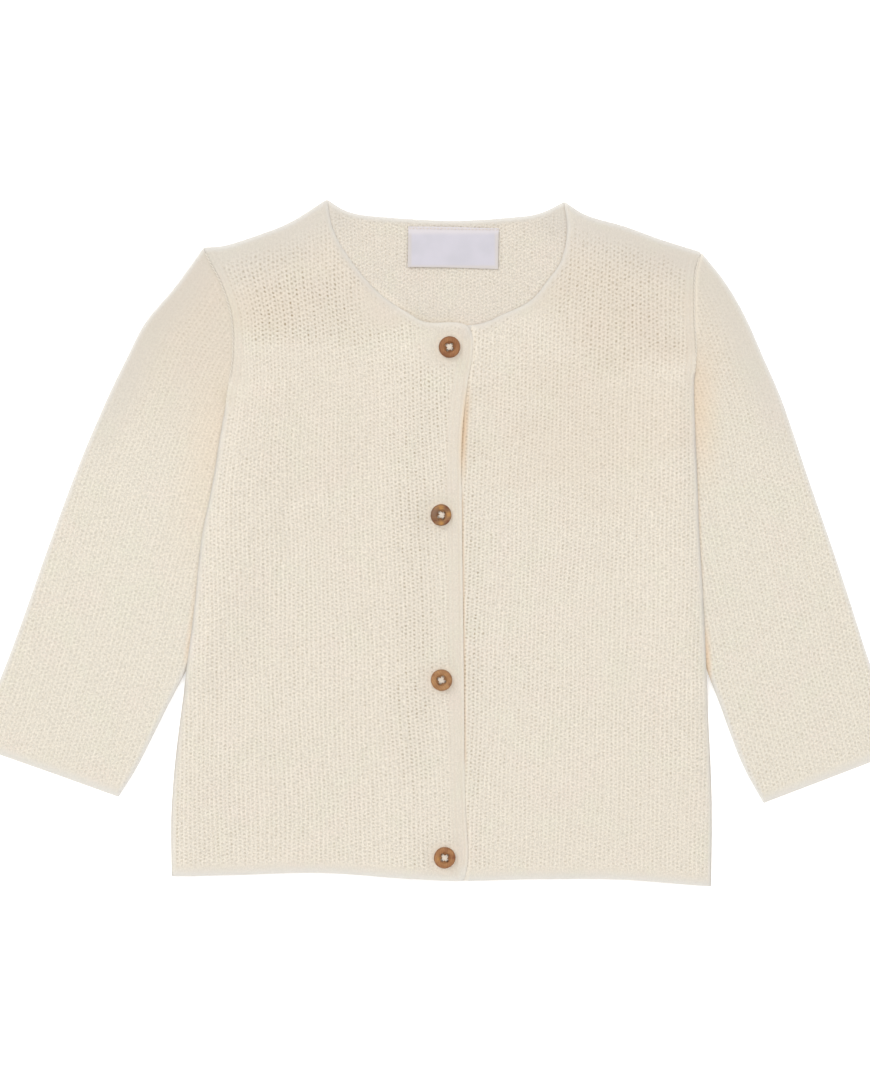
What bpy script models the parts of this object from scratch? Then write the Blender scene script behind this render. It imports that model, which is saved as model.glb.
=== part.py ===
"""Baby cardigan laid flat: knitted back, two fronts and two sleeves, neck label, sewn-on wooden buttons.

Frame: +X to the viewer's right, +Y from the hem to the neck, +Z up from the surface it lies on.
The origin is the bottom centre of the whole garment. Right and left in names are the wearer's.
Lengths in the tables and constants are millimetres, and each mesh is made in metres.
"""

import math

import bmesh
import bpy
from mathutils import Matrix, Vector

# ---------------------------------------------------------------- driving sizes, mm
MM = 0.001
WALL = 1.6  # thickness of the knitted cloth
LAYER_GAP = 0.4  # between two layers that lie on each other
SEAM_GAP = 0.3  # between two pieces that a seam joins
LAYER = WALL + LAYER_GAP
SLEEVE_HEIGHT = 2 * WALL + LAYER_GAP
EDGE_DROP = 0.7  # how far the upper side of a front comes down at its very edge

PLACKET_UNDER_EDGE = -10.0  # x of the left front's edge, hidden under the right front
PLACKET_STEP = (-17.0, -11.0)  # x where the right front starts and ends rising over that edge
PLACKET_GAPE = 1.1  # how far the right front's free edge stands up between the upper buttons
PLACKET_GAPE_Y = 54.0
PLACKET_GAPE_HALF_LENGTH = 28.0
PLACKET_GAPE_WIDTH = 12.0

SLEEVE_CLEAR = (3.0, 14.0)  # past a sleeve's hidden fold, where the body starts and ends coming down

BUTTON_RADIUS = 5.2
BUTTON_HEIGHT = 2.5
BUTTON_RIM_ROUND = 0.7
BUTTON_DISH_RADIUS = 2.9
BUTTON_DISH_DEPTH = 0.8
BUTTON_DISH_SLOPE = 0.5  # how far the dish's wall leans in and out
BUTTON_FOOT = 0.5  # chamfer round the underside
BUTTON_HOLE_RADIUS = 0.75
BUTTON_HOLE_OFFSET = 1.15  # from the button's centre to each hole, along x and y
THREAD_LEG_RADIUS = 0.42
THREAD_PAD_SIZE = 3.1
THREAD_PAD_HEIGHT = 0.5
THREAD_KNOT_RADIUS = 1.9
THREAD_KNOT_HEIGHT = 0.5
THREAD_SHANK_RADIUS = 0.6
THREAD_BITE = 0.2  # how far the legs reach into the knot and the pad
BUTTONHOLE_LENGTH = 9.4
BUTTONHOLE_WIDTH = 2.4

LABEL_WIDTH = 43.5
LABEL_LENGTH = 19.6
LABEL_THICKNESS = 0.5
LABEL_CENTRE = (7.8, 142.3)
LABEL_TURN_DEG = -1.0

# ---------------------------------------------------------------- shape tables, mm
# Side edge and armhole of the body, from the hem to the shoulder tip: y, x.
RIGHT_SIDE = (
    (-160.0, -127.4),
    (-132.7, -127.6),
    (-108.0, -126.0),
    (-84.0, -123.2),
    (-57.4, -119.6),
    (-26.6, -115.5),
    (1.7, -112.4),
    (30.5, -106.8),
    (52.0, -103.4),
    (73.7, -99.6),
    (92.0, -97.3),
    (109.2, -98.1),
    (124.2, -102.7),
    (135.3, -108.6),
    (141.6, -111.4),
)
LEFT_SIDE = (
    (-164.7, 131.6),
    (-132.7, 132.0),
    (-108.0, 131.4),
    (-66.5, 129.3),
    (-36.7, 127.8),
    (1.7, 125.3),
    (30.5, 124.2),
    (63.6, 122.8),
    (78.5, 122.7),
    (93.8, 123.6),
    (109.2, 122.8),
    (129.4, 123.2),
    (139.4, 126.2),
)
# Shoulder lines, from the shoulder tip to the neck: x, y.
RIGHT_SHOULDER = ((-111.4, 141.6), (-100.8, 142.6), (-83.5, 148.1), (-69.3, 154.0), (-52.5, 164.7))
LEFT_SHOULDER = ((126.2, 139.4), (106.1, 145.6), (89.8, 151.5), (71.5, 156.9), (60.7, 163.6))
# Neckline of the back, from the right neck point to the left one: x, y.
BACK_NECK = (
    (-52.5, 164.7),
    (-43.0, 159.2),
    (-29.8, 156.7),
    (7.2, 154.6),
    (37.4, 156.3),
    (49.8, 158.4),
    (60.7, 163.6),
)
# Necklines of the fronts, from the neck point to the placket: x, y.
RIGHT_NECK = (
    (-52.5, 164.7),
    (-49.7, 150.6),
    (-41.8, 136.6),
    (-27.9, 120.8),
    (-12.0, 109.7),
    (-4.3, 106.3),
    (9.0, 106.3),
    (14.6, 104.4),
    (17.0, 99.8),
)
LEFT_NECK = (
    (60.7, 163.6),
    (62.2, 150.0),
    (59.5, 136.1),
    (52.8, 126.5),
    (44.6, 116.9),
    (31.2, 110.2),
    (19.7, 105.7),
    (2.0, 104.6),
    (PLACKET_UNDER_EDGE, 105.2),
)
# Free edge of the placket, from the hem to the neckline: y, x.
PLACKET_EDGE = (
    (-161.9, 13.4),
    (-148.0, 14.9),
    (-120.0, 13.4),
    (-70.0, 12.9),
    (20.0, 11.8),
    (50.0, 11.8),
    (76.0, 14.4),
    (90.0, 16.8),
    (99.8, 17.0),
)
# Hem, along which all three panels end: x, y.
HEM = (
    (-127.4, -160.0),
    (-95.0, -159.2),
    (-57.0, -158.3),
    (-19.0, -160.5),
    (13.4, -161.9),
    (50.0, -161.2),
    (87.0, -161.4),
    (131.6, -164.7),
)

# Rows of every panel, as heights along a side edge that runs from -162.3 to 140.5: y.
SIDE_SPAN = (-162.3, 140.5)
ROWS = (
    (-162.3, -160.8, -145.0, -125.0, -106.0, -92.0, -84.0, -76.0, -68.0, -60.0, -48.0, -30.0, -10.0)
    + (10.0, 30.0, 48.0, 60.0, 66.0, 73.0, 80.0, 87.0, 94.0, 105.0, 118.0, 130.0, 139.0, 140.5)
)
# How far the sleeve under it lifts the body's side: y as in ROWS, lift as a share of the sleeve's height.
RIGHT_LIFT = ((-76.0, 0.0), (-60.0, 1.0), (66.0, 1.0), (80.0, 0.0))
LEFT_LIFT = ((-84.0, 0.0), (-68.0, 1.0), (80.0, 1.0), (94.0, 0.0))

# Rows from the shoulder tip down along which a sleeve's end lies beside the body and not under it.
RIGHT_FREE_ROWS = 10
LEFT_FREE_ROWS = 8

# Lines that part a panel into strips: x at the hem, x at the top.
RIGHT_STRIP = (-88.0, -78.0)
LEFT_STRIP = (104.0, 98.0)
RIGHT_NECK_HEM = -54.0  # x at the hem of the line up to the neck point
LEFT_NECK_HEM = 60.0

# Folds of each sleeve, from the shoulder to the cuff: outer fold x, y and underarm fold x, y.
RIGHT_SLEEVE = (
    (-111.7, 141.4, -96.3, 52.0),
    (-125.9, 122.5, -95.7, 33.0),
    (-139.2, 106.5, -97.6, 14.0),
    (-148.3, 89.0, -101.0, -3.0),
    (-159.2, 66.0, -106.0, -22.0),
    (-173.9, 30.5, -116.0, -52.0),
    (-194.9, -27.1, -130.2, -80.6),
    (-209.8, -66.0, -142.6, -107.0),
    (-223.2, -98.2, -152.6, -123.6),
)
LEFT_SLEEVE = (
    (126.5, 139.2, 116.0, 58.0),
    (136.8, 126.0, 114.8, 38.0),
    (147.4, 106.5, 115.0, 18.0),
    (155.4, 90.0, 117.2, 0.0),
    (165.0, 68.0, 121.0, -20.0),
    (177.6, 30.5, 127.4, -54.0),
    (197.3, -27.1, 135.9, -78.3),
    (208.4, -60.0, 146.2, -105.0),
    (223.2, -98.6, 156.5, -124.1),
)

# Buttons from the neck down: x, y, lean about the placket's line in degrees, turn in degrees.
BUTTONS = (
    (6.0, 94.1, 0.0, 8.0),
    (1.6, 13.7, 17.0, -12.0),
    (2.3, -65.4, -6.0, 20.0),
    (3.6, -150.5, 3.0, -4.0),
)

# Divisions of the meshes
SIDE_COLUMNS = (0.0, 0.06, 0.24, 0.43, 0.62, 0.81, 1.0)  # shares of the way from a side edge inwards
PLACKET_COLUMNS = (0.0, 0.3, 0.6, 0.94, 1.0)
SLEEVE_ALONG = 14
SLEEVE_END_REACH = 0.35  # share of a sleeve's length in which its loops turn from the armhole's line
SLEEVE_UNDER_ROWS = 4  # stops of a sleeve's open end where it lies under the body
FOLD_STEPS = 2
LINE_STEPS = 20  # steps of a smooth line between two of its points
SLIT_STEPS = 6
BUTTON_SIDES = 24
RIM_STEPS = 3
HOLE_SIDES = 8
KNOT_SIDES = 12
OVERCUT = 1.0  # how far a cutter stands out of what it cuts, mm
MERGE_DISTANCE = 1e-6  # metres

HOLE_PLACES = [(sx * BUTTON_HOLE_OFFSET, sy * BUTTON_HOLE_OFFSET) for sx in (-1, 1) for sy in (-1, 1)]


# ---------------------------------------------------------------- plane curves
def smooth_line(points):
    """A smooth line through the points."""
    points = [Vector(p) for p in points]
    ends = [2 * points[0] - points[1]] + points + [2 * points[-1] - points[-2]]
    line = []
    for a, b, c, d in zip(ends, ends[1:], ends[2:], ends[3:]):
        for step in range(LINE_STEPS):
            t = step / LINE_STEPS
            pull = (c - a) * t + (2 * a - 5 * b + 4 * c - d) * t * t + (3 * b - a - 3 * c + d) * t * t * t
            line.append(b + pull / 2)
    line.append(points[-1])
    return line


def run_length(line):
    """Distance from the line's start to each of its points."""
    run = [0.0]
    for a, b in zip(line, line[1:]):
        run.append(run[-1] + (b - a).length)
    return run


def point_at(line, share):
    """The point at that share of the line's length."""
    run = run_length(line)
    want = min(max(share, 0.0), 1.0) * run[-1]
    for i in range(len(line) - 1):
        if want <= run[i + 1]:
            part = (want - run[i]) / max(run[i + 1] - run[i], 1e-9)
            return line[i].lerp(line[i + 1], part)
    return line[-1]


def swap(rows):
    """Rows of y, x as rows of x, y."""
    return tuple((x, y) for y, x in rows)


def ramp(value, low, high):
    """0 at low and 1 at high, with a smooth change between them."""
    t = min(max((value - low) / (high - low), 0.0), 1.0)
    return t * t * (3 - 2 * t)


def read_table(rows, value):
    """The second column at that value of the first, with smooth steps between the rows."""
    for (low, a), (high, b) in zip(rows, rows[1:]):
        if value <= high:
            return a + (b - a) * ramp(value, low, high)
    return rows[-1][1]


# ---------------------------------------------------------------- outlines
RIGHT_EDGE = smooth_line(swap(RIGHT_SIDE))
LEFT_EDGE = smooth_line(swap(LEFT_SIDE))
PLACKET_LINE = smooth_line(swap(PLACKET_EDGE))


def x_on(edge, y):
    """x of an upright line at that height."""
    for a, b in zip(edge, edge[1:]):
        if a.y <= y <= b.y:
            return a.x + (b.x - a.x) * (y - a.y) / max(b.y - a.y, 1e-9)
    return edge[0].x if y < edge[0].y else edge[-1].x


def upright_point(edge, t):
    """The point at that share of an upright line's height."""
    y = edge[0].y + (edge[-1].y - edge[0].y) * t
    return Vector((x_on(edge, y), y))


def row_share(y):
    """A height of ROWS as a share of the side edge."""
    return (y - SIDE_SPAN[0]) / (SIDE_SPAN[1] - SIDE_SPAN[0])


def split_line(line, x):
    """The two parts of a line that runs towards +X, parted at x."""
    for i in range(len(line) - 1):
        if line[i].x <= x < line[i + 1].x:
            cut = line[i].lerp(line[i + 1], (x - line[i].x) / (line[i + 1].x - line[i].x))
            return line[: i + 1] + [cut], [cut] + line[i + 1 :]
    raise ValueError("the line does not reach that x")


# ---------------------------------------------------------------- heights of the layers
def side_share(edge, y):
    """The height y as one of ROWS, for a side edge that runs over its own span."""
    t = (y - edge[0].y) / (edge[-1].y - edge[0].y)
    return SIDE_SPAN[0] + t * (SIDE_SPAN[1] - SIDE_SPAN[0])


def sleeve_lift(x, y):
    """Height to which the sleeve under the body's side raises the body there."""
    lifted = 0.0
    for edge, lift, folds, inward in (
        (RIGHT_EDGE, RIGHT_LIFT, RIGHT_SLEEVE, 1),
        (LEFT_EDGE, LEFT_LIFT, LEFT_SLEEVE, -1),
    ):
        level = side_share(edge, y)
        if not lift[0][0] < level < lift[-1][0]:
            continue
        hidden_fold = [Vector(row[2:4]) for row in reversed(folds)]
        beyond = inward * (x - x_on(hidden_fold, y))
        lifted = max(lifted, read_table(lift, level) * (1 - ramp(beyond, *SLEEVE_CLEAR)))
    return lifted * (SLEEVE_HEIGHT + LAYER_GAP)


def left_front_under(x, y):
    """Underside of the left front, which lies on the back."""
    return sleeve_lift(x, y) + LAYER


def right_front_under(x, y):
    """Underside of the right front: on the back, and on the left front where the two lap."""
    lap = ramp(x, *PLACKET_STEP)
    along_gape = 1 - ramp(abs(y - PLACKET_GAPE_Y) / PLACKET_GAPE_HALF_LENGTH, 0.0, 1.0)
    free_edge = x_on(PLACKET_LINE, y)
    across_gape = ramp(x, free_edge - PLACKET_GAPE_WIDTH, free_edge)
    return sleeve_lift(x, y) + LAYER + LAYER * lap + PLACKET_GAPE * along_gape * across_gape


# ---------------------------------------------------------------- mesh helpers
def new_object(name, mesh_data, material):
    """A named object with its material, from a bmesh in metres."""
    mesh = bpy.data.meshes.new(name)
    mesh_data.normal_update()
    mesh_data.to_mesh(mesh)
    mesh_data.free()
    mesh.materials.append(material)
    thing = bpy.data.objects.new(name, mesh)
    bpy.context.scene.collection.objects.link(thing)
    return thing


def soften(thing, angle_deg):
    """Smooth shading, with edges sharper than the angle kept."""
    thing.data.shade_smooth()
    thing.data.set_sharp_from_angle(angle=math.radians(angle_deg))


def material(name, colour, roughness):
    """A Principled material of cloth, thread or wood."""
    made = bpy.data.materials.new(name)
    made.use_nodes = True
    shader = made.node_tree.nodes["Principled BSDF"]
    shader.inputs["Base Color"].default_value = (*colour, 1.0)
    shader.inputs["Roughness"].default_value = roughness
    made.diffuse_color = (*colour, 1.0)
    return made


# ---------------------------------------------------------------- panels
def even(count):
    """Equal shares from 0 to 1."""
    return [i / count for i in range(count + 1)]


def mirrored(shares):
    """The same shares, seen from the other side."""
    return [1 - share for share in reversed(shares)]


def patch(bottom, top, left, right, s, t):
    """Coons patch between four lines: s runs along bottom and top, t up left and right."""
    b, u = point_at(bottom, s), point_at(top, s)
    l, r = upright_point(left, t), upright_point(right, t)
    corners = (1 - s) * (1 - t) * bottom[0] + s * (1 - t) * bottom[-1]
    corners += (1 - s) * t * top[0] + s * t * top[-1]
    return (1 - t) * b + t * u + (1 - s) * l + s * r - corners


def split_at(line, places):
    """The parts of a line that runs towards +X, parted at each x."""
    parts = []
    for x in places:
        part, line = split_line(line, x)
        parts.append(part)
    return parts + [line]


def panel_points(hem_parts, top_parts, uprights, columns):
    """Plan points of a panel, by column and row. It is made of upright strips: each has its part of
    the hem and of the top edge, the two uprights beside it, and its columns as shares of its width."""
    shares = [row_share(y) for y in ROWS]
    points = []
    for hem, top, left, right, stops in zip(hem_parts, top_parts, uprights, uprights[1:], columns):
        for s in stops[1:] if points else stops:
            points.append([patch(hem, top, left, right, s, t) for t in shares])
    return points


def inner_uprights(hem_parts, top_parts):
    """The straight lines between a panel's strips, from hem to top."""
    return [[hem[-1], top[-1]] for hem, top in zip(hem_parts[:-1], top_parts[:-1])]


def panel(name, points, under, surface, edge_drop):
    """A wall of cloth over plan points, whose upper side comes down by edge_drop at its margin."""
    mesh_data = bmesh.new()
    low, high = {}, {}
    last = (len(points) - 1, len(points[0]) - 1)
    for i, column in enumerate(points):
        for j, p in enumerate(column):
            base = under(p.x, p.y)
            drop = edge_drop if i in (0, last[0]) or j in (0, last[1]) else 0.0
            low[i, j] = mesh_data.verts.new((p.x * MM, p.y * MM, base * MM))
            high[i, j] = mesh_data.verts.new((p.x * MM, p.y * MM, (base + WALL - drop) * MM))
    for i in range(last[0]):
        for j in range(last[1]):
            a, b, c, d = (i, j), (i + 1, j), (i + 1, j + 1), (i, j + 1)
            for corners in ((a, b, c), (a, c, d)):
                mesh_data.faces.new([high[k] for k in corners])
                mesh_data.faces.new([low[k] for k in reversed(corners)])
    rim = [(i, 0) for i in range(last[0])] + [(last[0], j) for j in range(last[1])]
    rim += [(i, last[1]) for i in range(last[0], 0, -1)] + [(0, j) for j in range(last[1], 0, -1)]
    for a, b in zip(rim, rim[1:] + rim[:1]):
        mesh_data.faces.new((low[a], low[b], high[b], high[a]))
    thing = new_object(name, mesh_data, surface)
    soften(thing, 50)
    return thing


def make_back(surface):
    """The back panel."""
    hem_parts = split_at(smooth_line(HEM), (RIGHT_STRIP[0], RIGHT_NECK_HEM, LEFT_NECK_HEM, LEFT_STRIP[0]))
    right_shoulder = split_at(smooth_line(RIGHT_SHOULDER), (RIGHT_STRIP[1],))
    left_shoulder = split_at(smooth_line(LEFT_SHOULDER)[::-1], (LEFT_STRIP[1],))
    top_parts = right_shoulder + [smooth_line(BACK_NECK)] + left_shoulder
    uprights = [RIGHT_EDGE] + inner_uprights(hem_parts, top_parts) + [LEFT_EDGE]
    columns = (SIDE_COLUMNS, even(2), even(7), even(2), mirrored(SIDE_COLUMNS))
    points = panel_points(hem_parts, top_parts, uprights, columns)
    return panel("back", points, sleeve_lift, surface, 0.0)


def make_right_front(surface):
    """The right front, which laps over the left one and holds the buttonholes."""
    hem = split_line(smooth_line(HEM), PLACKET_EDGE[0][1])[0]
    hem_parts = split_at(hem, (RIGHT_STRIP[0], RIGHT_NECK_HEM, *PLACKET_STEP))
    top_parts = split_at(smooth_line(RIGHT_SHOULDER), (RIGHT_STRIP[1],))
    top_parts += split_at(smooth_line(RIGHT_NECK), PLACKET_STEP)
    uprights = [RIGHT_EDGE] + inner_uprights(hem_parts, top_parts) + [PLACKET_LINE]
    columns = (SIDE_COLUMNS, even(2), even(5), even(2), PLACKET_COLUMNS)
    points = panel_points(hem_parts, top_parts, uprights, columns)
    front = panel("front_right", points, right_front_under, surface, EDGE_DROP)
    for number, (x, y, lean, turn) in enumerate(BUTTONS, 1):
        cut_buttonhole(front, number, x, y)
    return front


def make_left_front(surface):
    """The left front, which carries the buttons on a strip under the right one."""
    hem = split_line(smooth_line(HEM), PLACKET_UNDER_EDGE)[1]
    hem_parts = split_at(hem, (LEFT_NECK_HEM, LEFT_STRIP[0]))
    top_parts = [smooth_line(LEFT_NECK)[::-1]]
    top_parts += split_at(smooth_line(LEFT_SHOULDER)[::-1], (LEFT_STRIP[1],))
    under_edge = [hem[0], top_parts[0][0]]
    uprights = [under_edge] + inner_uprights(hem_parts, top_parts) + [LEFT_EDGE]
    columns = (even(9), even(2), mirrored(SIDE_COLUMNS))
    points = panel_points(hem_parts, top_parts, uprights, columns)
    return panel("front_left", points, left_front_under, surface, EDGE_DROP)


def cut_buttonhole(front, number, x, y):
    """An eye-shaped slit through the cloth, along the placket."""
    cutter_mesh = bmesh.new()
    outline = []
    for i in range(2 * SLIT_STEPS):
        angle = math.pi * i / SLIT_STEPS
        half_width = BUTTONHOLE_WIDTH / 2 * math.sin(angle) * abs(math.sin(angle)) ** 0.5
        outline.append((x + half_width, y + BUTTONHOLE_LENGTH / 2 * math.cos(angle)))
    low = [cutter_mesh.verts.new((px * MM, py * MM, LAYER * MM)) for px, py in reversed(outline)]
    face = cutter_mesh.faces.new(low)
    swept = bmesh.ops.extrude_face_region(cutter_mesh, geom=[face])
    tops = [v for v in swept["geom"] if isinstance(v, bmesh.types.BMVert)]
    bmesh.ops.translate(cutter_mesh, verts=tops, vec=(0, 0, 3 * LAYER * MM))
    bmesh.ops.recalc_face_normals(cutter_mesh, faces=cutter_mesh.faces)
    cutter = new_object(f"buttonhole_{number}_cutter", cutter_mesh, front.data.materials[0])
    cutter.hide_render = True
    cutter.display_type = "WIRE"
    cut = front.modifiers.new(f"buttonhole_{number}", "BOOLEAN")
    cut.operation = "DIFFERENCE"
    cut.solver = "EXACT"
    cut.object = cutter


# ---------------------------------------------------------------- sleeves
def tube_profile(width, shares, inset):
    """One loop of a flattened tube, inset from its outer surface: distance from the outer fold and
    height of each point. The shares are those of the flat part's width."""
    middle = SLEEVE_HEIGHT / 2
    radius = middle - inset
    across = [middle + (width - 2 * middle) * share for share in shares]
    bends = [math.pi * step / (FOLD_STEPS + 1) for step in range(1, FOLD_STEPS + 1)]
    loop = [(distance, middle + radius) for distance in across]
    loop += [(width - middle + radius * math.sin(b), middle + radius * math.cos(b)) for b in bends]
    loop += [(distance, middle - radius) for distance in reversed(across)]
    loop += [(middle - radius * math.sin(b), middle - radius * math.cos(b)) for b in bends]
    return loop


def armhole_end(edge, rows, underarm, outward):
    """The sleeve's open end: along the body's side edge, a seam's gap off it, down to the first row
    where the body lies over the sleeve, and from there under the body to the underarm."""
    end = []
    for y in rows:
        p = upright_point(edge, row_share(y))
        end.append(Vector((p.x + outward * SEAM_GAP, p.y)))
    last_seen = end[-1]
    for step in range(1, SLEEVE_UNDER_ROWS + 1):
        end.append(last_seen.lerp(underarm, step / SLEEVE_UNDER_ROWS))
    return end


def make_sleeve(name, folds, edge, rows, outward, surface):
    """A sleeve: a flattened tube, open at the armhole and at the cuff."""
    outer_fold = smooth_line([row[0:2] for row in folds])
    inner_fold = smooth_line([row[2:4] for row in folds])
    end = armhole_end(edge, rows, inner_fold[0], outward)
    run = run_length(end)
    shares = [r / run[-1] for r in run]
    mesh_data = bmesh.new()
    rings = []
    for step in range(SLEEVE_ALONG + 1):
        u = step / SLEEVE_ALONG
        outer, inner = point_at(outer_fold, u), point_at(inner_fold, u)
        width = (inner - outer).length
        follow = (1 - min(u / SLEEVE_END_REACH, 1.0)) ** 2
        for inset in (0.0, WALL):
            ring = []
            for distance, height in tube_profile(width, shares, inset):
                share = distance / width
                p = outer.lerp(inner, share)
                if follow > 0:
                    straight = outer_fold[0].lerp(inner_fold[0], share)
                    p += (along(end, shares, share, width) - straight) * follow
                ring.append(mesh_data.verts.new((p.x * MM, p.y * MM, height * MM)))
            rings.append(ring)
    count = len(rings[0])
    for step in range(SLEEVE_ALONG):
        outside, inside, next_outside, next_inside = rings[2 * step : 2 * step + 4]
        for i in range(count):
            j = (i + 1) % count
            mesh_data.faces.new((outside[i], outside[j], next_outside[j], next_outside[i]))
            mesh_data.faces.new((inside[j], inside[i], next_inside[i], next_inside[j]))
    for outside, inside in (rings[:2], rings[-2:]):
        for i in range(count):
            j = (i + 1) % count
            mesh_data.faces.new((outside[j], outside[i], inside[i], inside[j]))
    bmesh.ops.recalc_face_normals(mesh_data, faces=mesh_data.faces)
    thing = new_object(name, mesh_data, surface)
    soften(thing, 60)
    return thing


def along(line, shares, share, width):
    """The point of a flattened tube's end at that share of its width. The line's points stand at the
    tube's own stops, which leave the two folds their radius."""
    fold = SLEEVE_HEIGHT / 2 / width
    place = (share - fold) / (1 - 2 * fold)
    for i in range(len(shares) - 1):
        if place <= shares[i + 1]:
            part = (place - shares[i]) / (shares[i + 1] - shares[i])
            return line[i].lerp(line[i + 1], part)
    part = (place - shares[-2]) / (shares[-1] - shares[-2])
    return line[-2].lerp(line[-1], part)


# ---------------------------------------------------------------- label
def make_label(surface):
    """The woven label, flat on the back panel inside the neck."""
    mesh_data = bmesh.new()
    bmesh.ops.create_cube(mesh_data, size=1.0)
    size = (LABEL_WIDTH * MM, LABEL_LENGTH * MM, LABEL_THICKNESS * MM)
    bmesh.ops.scale(mesh_data, verts=mesh_data.verts, vec=size)
    thing = new_object("neck_label", mesh_data, surface)
    middle = WALL + SEAM_GAP + LABEL_THICKNESS / 2
    thing.location = Vector((*LABEL_CENTRE, middle)) * MM
    thing.rotation_euler = (0, 0, math.radians(LABEL_TURN_DEG))
    return thing


# ---------------------------------------------------------------- buttons
def cylinder(mesh_data, radius, low, high, x=0.0, y=0.0, sides=HOLE_SIDES):
    """Adds an upright cylinder, sizes in mm."""
    middle = Matrix.Translation((x * MM, y * MM, (low + high) / 2 * MM))
    bmesh.ops.create_cone(
        mesh_data,
        cap_ends=True,
        segments=sides,
        radius1=radius * MM,
        radius2=radius * MM,
        depth=(high - low) * MM,
        matrix=middle,
    )


def combine(target, tool_mesh, operation, label):
    """A Boolean of a helper shape with the target, in the target's own frame."""
    tool = new_object(f"{target.name}_{label}", tool_mesh, target.data.materials[0])
    tool.hide_render = True
    tool.display_type = "WIRE"
    tool.parent = target
    step = target.modifiers.new(label, "BOOLEAN")
    step.operation = operation
    step.solver = "EXACT"
    step.object = tool


def button_section():
    """Half section of the turned button, from the axis out and round to the axis: radius, height."""
    top, rim = BUTTON_HEIGHT, BUTTON_RIM_ROUND
    dish, slope = BUTTON_DISH_RADIUS, BUTTON_DISH_SLOPE
    section = [(0.0, top - BUTTON_DISH_DEPTH), (dish - slope, top - BUTTON_DISH_DEPTH)]
    section += [(dish, top - BUTTON_DISH_DEPTH / 3), (dish + slope, top)]
    for i in range(RIM_STEPS + 1):
        angle = math.pi / 2 * (1 - i / RIM_STEPS)
        section.append((BUTTON_RADIUS - rim + rim * math.cos(angle), top - rim + rim * math.sin(angle)))
    section += [(BUTTON_RADIUS, BUTTON_FOOT), (BUTTON_RADIUS - BUTTON_FOOT, 0.0), (0.0, 0.0)]
    return section


def button_frame(x, y, lean):
    """The button's frame: its origin at the middle of its underside, which clears the cloth."""
    cloth_top = 2 * LAYER + WALL
    tilt = math.sin(math.radians(abs(lean)))
    knot = THREAD_KNOT_HEIGHT + THREAD_KNOT_RADIUS * tilt + 2 * SEAM_GAP
    rim = BUTTON_RADIUS * tilt + SEAM_GAP
    return Vector((x, y, cloth_top + max(knot, rim))) * MM


def make_button(number, x, y, lean, turn, surface):
    """One turned wooden button with a dished middle and four holes."""
    mesh_data = bmesh.new()
    section = button_section()
    verts = [mesh_data.verts.new((r * MM, 0, z * MM)) for r, z in section]
    edges = [mesh_data.edges.new(pair) for pair in zip(verts, verts[1:])]
    bmesh.ops.spin(
        mesh_data,
        geom=verts + edges,
        axis=(0, 0, 1),
        cent=(0, 0, 0),
        steps=BUTTON_SIDES,
        angle=2 * math.pi,
    )
    bmesh.ops.remove_doubles(mesh_data, verts=mesh_data.verts, dist=MERGE_DISTANCE)
    bmesh.ops.recalc_face_normals(mesh_data, faces=mesh_data.faces)
    thing = new_object(f"button_{number}", mesh_data, surface)
    soften(thing, 40)
    holes = bmesh.new()
    for x_hole, y_hole in HOLE_PLACES:
        cylinder(holes, BUTTON_HOLE_RADIUS, -OVERCUT, BUTTON_HEIGHT, x_hole, y_hole)
    combine(thing, holes, "DIFFERENCE", "holes")
    thing.location = button_frame(x, y, lean)
    thing.rotation_euler = (0, math.radians(lean), math.radians(turn))
    return thing


def make_thread(number, x, y, lean, turn, surface):
    """The button's thread: stitches over the dish, four legs, a knot below, and the shank that goes
    through the slit."""
    pad_low = BUTTON_HEIGHT - BUTTON_DISH_DEPTH + SEAM_GAP
    pad = bmesh.new()
    bmesh.ops.create_cube(pad, size=1.0)
    pad_size = (THREAD_PAD_SIZE * MM, THREAD_PAD_SIZE * MM, THREAD_PAD_HEIGHT * MM)
    bmesh.ops.scale(pad, verts=pad.verts, vec=pad_size)
    bmesh.ops.translate(pad, verts=pad.verts, vec=(0, 0, (pad_low + THREAD_PAD_HEIGHT / 2) * MM))
    thing = new_object(f"button_thread_{number}", pad, surface)
    knot_top = -SEAM_GAP
    knot_low = knot_top - THREAD_KNOT_HEIGHT
    legs = bmesh.new()
    for x_hole, y_hole in HOLE_PLACES:
        cylinder(legs, THREAD_LEG_RADIUS, knot_low + THREAD_BITE, pad_low + THREAD_BITE, x_hole, y_hole)
    combine(thing, legs, "UNION", "legs")
    knot = bmesh.new()
    cylinder(knot, THREAD_KNOT_RADIUS, knot_low, knot_top, sides=KNOT_SIDES)
    combine(thing, knot, "UNION", "knot")
    origin = button_frame(x, y, lean)
    foot = LAYER + WALL + SEAM_GAP - origin.z / MM
    shank = bmesh.new()
    cylinder(shank, THREAD_SHANK_RADIUS, foot, knot_low + THREAD_KNOT_HEIGHT / 2)
    upright = Matrix.Rotation(math.radians(lean), 4, "Y").inverted()
    bmesh.ops.transform(shank, matrix=upright, verts=shank.verts)
    combine(thing, shank, "UNION", "shank")
    thing.location = origin
    thing.rotation_euler = (0, math.radians(lean), math.radians(turn))
    return thing


# ---------------------------------------------------------------- the whole garment
def clear_scene():
    """Removes every object of the scene."""
    for thing in list(bpy.data.objects):
        bpy.data.objects.remove(thing, do_unlink=True)


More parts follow.
